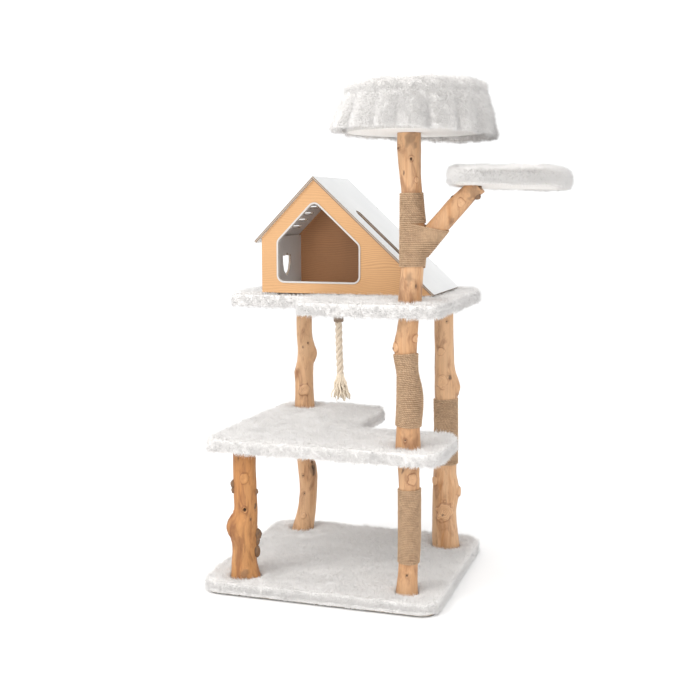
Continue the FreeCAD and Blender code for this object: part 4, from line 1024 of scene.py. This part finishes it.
def smooth_mesh(points, faces, rounds):
    """Relaxes each point towards its neighbours."""
    edges = np.concatenate([faces[:, [0, 1]], faces[:, [1, 2]], faces[:, [2, 3]], faces[:, [3, 0]]])
    count = np.bincount(edges.ravel(), minlength=len(points))[:, None]
    for _ in range(rounds):
        total = np.zeros_like(points)
        for axis in range(3):
            total[:, axis] = np.bincount(edges[:, 0], points[edges[:, 1], axis], len(points)) \
                + np.bincount(edges[:, 1], points[edges[:, 0], axis], len(points))
        points = 0.5 * points + 0.5 * total / count
    return points


def posts_near(low, high):
    """Centre, radius, foot and top of each trunk that passes or ends between two heights."""
    found = []
    for node in TRUNKS:
        heights = [row[0] * MM for row in TRUNKS[node][1]]
        middle = min(max((low + high) / 2, heights[0]), heights[-1])
        if heights[0] <= high + 0.02 and heights[-1] >= low - 0.02:
            found.append([*trunk_at(node, middle), heights[0], heights[-1]])
    return found


def scatter_roots(base, count, weight, rng):
    """Random places on a surface and its normals there, closer together where weight is higher."""
    mesh = base.data
    mesh.calc_loop_triangles()
    triangles = np.zeros(len(mesh.loop_triangles) * 3, int)
    mesh.loop_triangles.foreach_get("vertices", triangles)
    triangles = triangles.reshape(-1, 3)
    points, normals = vertex_arrays(mesh)
    corners = points[triangles]
    area = np.linalg.norm(np.cross(corners[:, 1] - corners[:, 0], corners[:, 2] - corners[:, 0]), axis=1) / 2
    share = area * weight(corners.mean(1), unit(normals[triangles].mean(1)))
    chosen = rng.choice(len(triangles), count, p=share / share.sum())
    first, second = np.sqrt(rng.uniform(0, 1, count)), rng.uniform(0, 1, count)
    mix = np.stack([1 - first, first * (1 - second), first * second], axis=1)[:, :, None]
    return (corners[chosen] * mix).sum(1), unit((normals[triangles[chosen]] * mix).sum(1))


def comb_strands(root, normal, seed, length, droop, ruffle, rng):
    """Each strand's tip, and whether it strays: strands lie in drifting directions and gather into small
    tufts, and the stray ones stand out longer."""
    count = len(root)
    flat = np.abs(normal[:, 2:])
    drift = 0.8 * noise_vectors(root, 30, seed % 7) + 0.3 * noise_vectors(root, 90, 3)
    flow = ruffle * (0.4 + 0.8 * flat) * drift
    flow += np.array([0, 0, -1.0]) * droop * (1 - 0.75 * flat)
    flow -= normal * (flow * normal).sum(1)[:, None]
    lean = 0.95 + 0.35 * value_noise(root, 60, 9)
    stray = rng.uniform(0, 1, count) < 0.25
    aim = unit(normal + flow * np.where(stray, 0.5, lean)[:, None]
               + rng.normal(0, 1, (count, 3)) * np.where(stray, 0.55, 0.32)[:, None])
    long = length * rng.uniform(0.62, 1.12, count) * (1 + 0.16 * value_noise(root, 45, 5))
    long *= np.where(stray, 1.32, 1.0)
    tip = root + aim * long[:, None]
    tufts = rng.choice(count, max(8, count // 30), replace=False)
    tree = point_tree(root[tufts])
    nearest = tufts[[tree.find(place)[1] for place in root]]
    pull = rng.uniform(0.05, 0.4, count)[:, None] * np.where(stray, 0.1, 1)[:, None]
    return tip * (1 - pull) + (tip[nearest] + 0.15 * (root - root[nearest])) * pull, stray


def push_from_posts(root, tip, posts):
    """Moves tips out of the posts, and tells which strands are rooted inside one."""
    inside = np.zeros(len(root), bool)
    for x, y, radius, foot, top in posts:
        middle = np.array([x, y])
        beside = (root[:, 2] > foot - 0.003) & (root[:, 2] < top + 0.003)
        inside |= (np.linalg.norm(root[:, :2] - middle, axis=1) < radius - 0.002) & beside
        offset = tip[:, :2] - middle
        gap = np.linalg.norm(offset, axis=1)
        short = (gap < radius + POST_CLEARANCE) & beside
        tip[short, :2] = middle + offset[short] / gap[short, None] * (radius + POST_CLEARANCE)
    return inside


def add_strands(name, root, tip, normal, stray, kinds):
    """Closed spikes from root to tip, each in its tone, in pieces of a limited size."""
    pieces = math.ceil(len(root) / STRANDS_PER_PIECE)
    aim = unit(tip - root)
    order = np.argsort(root[:, 0] + root[:, 1])
    for index, group in enumerate(np.array_split(order, pieces)):
        start = root[group] - normal[group] * 1.0 * MM
        width = PILE_WIDTH * np.where(stray[group], 0.7, 1.0)
        points, faces = spikes(start, aim[group], np.linalg.norm(tip[group] - start, axis=1), width)
        pile = mesh_object(f"{name}_{index + 1}" if pieces > 1 else name, points, faces)
        place_piece(pile, "root", STRANDS)
        pile.data.polygons.foreach_set("material_index", np.tile(kinds[group], 4).astype(np.int32))


def grow_pile(base, name, count, seed, weight, posts=(), keep=None, length=PILE_LENGTH, floor=None, droop=1.0,
              ruffle=0.9, shade=None):
    """The pile of a soft piece. shade is painted light and shade: where it is higher the strands take darker
    tones, where it is lower brighter ones.
    """
    rng = np.random.default_rng(seed)
    root, normal = scatter_roots(base, count, weight, rng)
    tip, stray = comb_strands(root, normal, seed, length, droop, ruffle, rng)
    wanted = ~push_from_posts(root, tip, posts)
    if floor is not None:
        tip[:, 2] = np.maximum(tip[:, 2], floor)
    if keep is not None:
        wanted &= keep(root)
    root, tip, normal, stray = root[wanted], tip[wanted], normal[wanted], stray[wanted]
    tone = 0.5 * value_noise(root, 24, 2) + 0.4 * value_noise(root, 75, 4) + rng.normal(0, 0.24, len(root))
    # Painted light and shade, laid on top of the random tone.
    if shade is not None:
        tone = tone + shade(root, normal)
    add_strands(name, root, tip, normal, stray, np.digitize(tone, TONE_STEPS))


def plush_cover(node, name, seed, inset=6.5 * MM, wall_inset=8.0 * MM, underside_inset=2.5 * MM):
    """A plush skin over one padded board: its ground is set in, soft and slightly uneven."""
    low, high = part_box(node)
    points, normals, faces = outer_shell(node)
    posts = posts_near(low.z, high.z)
    nearness = np.zeros(len(points))
    for x, y, radius, foot, top in posts:
        gap = np.linalg.norm(points[:, :2] - [x, y], axis=1) - radius
        beside = (points[:, 2] > foot - 0.004) & (points[:, 2] < top + 0.004)
        nearness = np.maximum(nearness, (1 - smoothstep(0.004, 0.014, gap)) * beside)
    walls = np.flatnonzero(np.abs(normals[:, 2]) < 0.35)
    tree = point_tree(points[walls] * [1, 1, 0])
    found = [tree.find(place) for place in points * [1, 1, 0]]
    inward = -unit(normals[walls[[hit[1] for hit in found]]] * [1, 1, 0])
    edge_share = (1 - smoothstep(0, 0.04, np.array([hit[2] for hit in found]))) * (1 - nearness)
    rise = (points[:, 2] - (low.z + high.z) / 2) / ((high.z - low.z) / 2)
    points = points + inward * (wall_inset * edge_share)[:, None]
    points[:, 2] -= rise * np.where(rise > 0, inset, underside_inset)
    points = smooth_mesh(points, faces, 12)
    uneven = 1.3 * value_noise(points, 22, seed) + 0.5 * value_noise(points, 60, seed + 1)
    away = (1 - nearness) * (0.3 + 0.7 * smoothstep(-0.6, 0.2, normals[:, 2]))
    points = points + normals * (uneven * away * MM)[:, None]
    cover = mesh_object(name, points, [faces])
    place_piece(cover, "root", [SHADED_GROUND], [node])
    return cover, posts


def outward_weight(points, normals):
    """Most strands on the sides, fewer on top and few underneath."""
    return np.interp(normals[:, 2], [-0.97, -0.8, 0.6, 0.9], [0.25, 1.5, 1.5, 1.0])


def top_and_sides(points, normals):
    """The same with none on the flat underside."""
    return np.interp(normals[:, 2], [-0.97, -0.85, 0.6, 0.9], [0.0, 1.5, 1.5, 1.0])


def painted_light_by_facing(top, side):
    """Painted light and shade on a board's pile: one tone offset on top and another on its sides, lower for
    brighter and higher for darker.
    """
    return lambda points, normals: side + (top - side) * np.abs(normals[:, 2])


def make_platforms():
    base, posts = plush_cover("base_cover", "base_plush", 71, underside_inset=0.0)
    # Painted light: the base's top, shaded by the boards above, takes the brightest tones, and its sides
    # nearly so.
    grow_pile(base, "base_pile", 138000, 81, top_and_sides, posts, floor=1.2 * MM,
              shade=painted_light_by_facing(-0.9, -0.3))
    middle, posts = plush_cover("middle_cover", "middle_plush", 72)
    # Painted shade: the middle board's sides take darker tones than its top.
    grow_pile(middle, "middle_pile", 124000, 82, outward_weight, posts, shade=painted_light_by_facing(-0.5, 0.0))
    upper, posts = plush_cover("upper_cover", "upper_plush", 73)
    rope_axis = np.array(ROPE_EXIT[:2])
    house_low, house_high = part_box("house_floor")

    def clear_of_rope_and_house(root):
        x, y, z = root.T
        under = (np.linalg.norm(root[:, :2] - rope_axis, axis=1) < 0.03) & (z < 0.7)
        inside = (x > house_low.x + 0.004) & (x < house_high.x - 0.004) \
            & (y > house_low.y + 0.004) & (y < house_high.y - 0.004) & (z > 0.7)
        return ~(under | inside)

    # Painted shade: the upper board's sides take darker tones still.
    grow_pile(upper, "upper_pile", 124000, 83, outward_weight, posts, keep=clear_of_rope_and_house,
              shade=painted_light_by_facing(-0.5, 0.35))


make_platforms()


# ---------------------------------------------------------------- nest
NEST = (220 * MM, -199 * MM)
RIM_FOOT = 1.176
# The skirt's seam and hem heights, its least radius and its flare, in millimetres.
SKIRT_SEAM, SKIRT_HEM, SKIRT_RADIUS, SKIRT_FLARE = 1178, 1101, 155, 26


def from_nest_axis(points):
    """How far points are from the nest's upright axis, and their level directions from it."""
    offset = points[:, :2] - NEST
    return np.hypot(offset[:, 0], offset[:, 1]), unit(offset)


def make_rim():
    """The stuffed ring above the gather seam."""
    points, normals, faces = outer_shell("nest_rim")
    points = smooth_mesh(points - normals * 6.5 * MM, faces, 2)
    angle = np.arctan2(points[:, 1] - NEST[1], points[:, 0] - NEST[0])
    puffs = 1.4 * np.sin(9 * angle + 1.3 * np.sin(2 * angle)) + 1.2 * value_noise(points, 26, 5)
    points = points + normals * (puffs * MM)[:, None]
    rim = mesh_object("nest_rim_plush", points, [faces])
    place_piece(rim, "root", [SHADED_GROUND], ["nest_rim"])
    # Painted light: the rim's pile takes the brightest tones all over.
    grow_pile(rim, "nest_rim_pile", 88000, 91, top_and_sides, keep=lambda root: root[:, 2] > RIM_FOOT,
              shade=lambda points, normals: -0.9)


def skirt_rings(offset, columns=420, rows=34):
    """Points of the gathered skirt: radius and height wave more towards the hem."""
    angle = np.linspace(0, TAU, columns, endpoint=False)[None, :]
    share = np.linspace(0, 1, rows)[:, None]
    seam = np.stack([np.cos(angle[0]), np.sin(angle[0]), np.zeros(columns)], axis=1)

    def wander(scale, seed):
        return value_noise(seam, scale, seed)[None, :]

    drift = wander(2.4, 6)
    folds = 1.9 * np.abs(np.sin(8.5 * angle + 1.1 * drift)) ** 0.6 - 1.45 \
        + 0.2 * np.sin(29 * angle + 4 * drift) + 0.45 * wander(5.5, 8)
    left, front = np.cos(angle - math.radians(197)), np.cos(angle - math.radians(-76))
    radius = SKIRT_RADIUS + 4.5 + SKIRT_FLARE * share ** 0.9 + folds * (1.5 + 5.6 * share) \
        + 6.0 * share ** 1.2 * left
    hem = SKIRT_HEM + 2.0 * wander(6, 9) + 1.4 * folds + 8.5 * left + 4.0 * front
    top = SKIRT_SEAM + 0.8 * folds
    height = top + (hem - top) * share
    radius = (radius - offset) * MM
    return np.stack([NEST[0] + radius * np.cos(angle), NEST[1] + radius * np.sin(angle),
                     np.broadcast_to(height * MM, radius.shape)], axis=-1)


def make_skirt():
    """The gathered skirt: an outer and an inner wall joined at the seam and the hem."""
    rings = np.concatenate([skirt_rings(4.5), skirt_rings(9.0)[::-1]])
    rows, columns = rings.shape[:2]
    quads = tube_faces(rows, columns, closed_ends=False)[0]
    ring = np.arange(columns)
    after = (ring + 1) % columns
    last = (rows - 1) * columns
    join = np.stack([last + ring, last + after, after, ring], axis=-1)
    skirt = mesh_object("nest_skirt_plush", rings.reshape(-1, 3), [np.concatenate([quads, join])[:, ::-1]])
    place_piece(skirt, "root", [SHADED_GROUND], ["nest_skirt"])

    def outside(points, normals):
        facing = (from_nest_axis(points)[1] * normals[:, :2]).sum(1)
        return np.where(facing > 0.3, 1.0, np.where(facing < -0.3, 0.4, 0.6))

    # Painted shade in the fold valleys, darker the further a strand sits in from the ridges, and painted
    # light on the skirt's inner side, which takes the brightest tones.
    def painted_fold_shade(points, normals):
        share = np.clip((SKIRT_SEAM * MM - points[:, 2]) / ((SKIRT_SEAM - SKIRT_HEM) * MM), 0, 1)
        ridge = SKIRT_RADIUS + SKIRT_FLARE * share ** 0.9
        away, outward = from_nest_axis(points)
        facing = (outward * normals[:, :2]).sum(1)
        return np.where(facing > 0, np.clip((ridge - away / MM) / 9, -0.6, 0.7) - 0.5, -1.2)

    grow_pile(skirt, "nest_skirt_pile", 88000, 92, outside, length=11 * MM, droop=1.6, ruffle=0.35,
              shade=painted_fold_shade)


def make_cushion():
    """The loose cushion, a little hollow in the middle."""
    points, normals, faces = outer_shell("nest_cushion")
    points = smooth_mesh(points - normals * 5.5 * MM, faces, 3)
    dish = 5.0 * (1 - smoothstep(0.0, 0.09, from_nest_axis(points)[0])) * (normals[:, 2] > 0.3)
    points = points + normals * ((1.6 * value_noise(points, 24, 4) - dish) * MM)[:, None]
    cushion = mesh_object("nest_cushion_plush", points, [faces])
    place_piece(cushion, "root", [SHADED_GROUND], ["nest_cushion"])
    grow_pile(cushion, "nest_cushion_pile", 30000, 93, top_and_sides,
              keep=lambda root: from_nest_axis(root)[0] < 0.108)


make_rim()
make_skirt()
make_cushion()


# ---------------------------------------------------------------- side perch
def make_perch():
    cover, _ = plush_cover("perch_cover", "perch_plush", 75, inset=9.5 * MM, underside_inset=1.0 * MM)
    # Painted light: the perch's pile takes the brightest tones all over, top and sides.
    grow_pile(cover, "perch_pile", 70000, 94, top_and_sides, length=12 * MM,
              shade=painted_light_by_facing(-0.9, -0.9))


make_perch()


# ---------------------------------------------------------------- house and hardware
def finish(material, *nodes):
    """Gives CAD parts whose shape is right their material."""
    for node in nodes:
        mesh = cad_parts[node].data
        mesh.materials.clear()
        mesh.materials.append(material)


OAK = veneer("oak_veneer", (0.59, 0.335, 0.153), (0.53, 0.295, 0.13), (0.41, 0.21, 0.085))
OAK_BACK = veneer("oak_veneer_back", (0.56, 0.27, 0.12), (0.5, 0.23, 0.1), (0.36, 0.155, 0.065))
PANELS = {"house_left_roof": (-1.025, 0, 1), "house_right_roof": (0.925, 0, 1),
          "house_left_wall": (1, 0, 0), "house_floor": (0, 0, 1)}
TRIM = plain_solid("white_trim", (0.52, 0.5, 0.475), (0.57, 0.55, 0.525), 0.4, scale=30, bump=0.05)
CHIPBOARD = plain_solid("chipboard", (0.45, 0.32, 0.2), (0.62, 0.48, 0.33), 0.8, scale=160, bump=0.5)
STEEL = plain_solid("screw_steel", (0.42, 0.41, 0.4), (0.62, 0.61, 0.6), 0.34, metal=1.0, scale=220, bump=0.2)
# The base's underside sheet: a nonwoven liner, made dark as painted shade for the shadow line along the
# base's bottom edge.
LINER_AND_EDGE_SHADE = plain_solid("liner", (0.12, 0.12, 0.12), (0.2, 0.2, 0.2), 0.85, scale=300, bump=0.4)
CAP = plain_solid("rope_cap_leather", (0.17, 0.115, 0.075), (0.3, 0.215, 0.15), 0.62, scale=240, bump=0.6)
FLEECE = fleece("cream_fleece", (0.88, 0.86, 0.83), (0.74, 0.715, 0.68))

finish(OAK, "house_front_panel")
finish(OAK_BACK, "house_back_panel")
for panel, facing in PANELS.items():
    finish(coated_panel(panel + "_coat", panel, facing), panel)
finish(TRIM, "doorway_trim")
finish(CHIPBOARD, "base_board", "middle_board", "upper_board")
finish(FLEECE, "nest_board", "perch_board")
finish(STEEL, "post_bolts", "post_washers", "post_studs", "post_inserts", "house_roof_screws",
       "house_floor_screws", "perch_screws", "rope_eye_screw", "rope_ring")
finish(LINER_AND_EDGE_SHADE, "base_liner")
finish(CAP, "rope_cap")
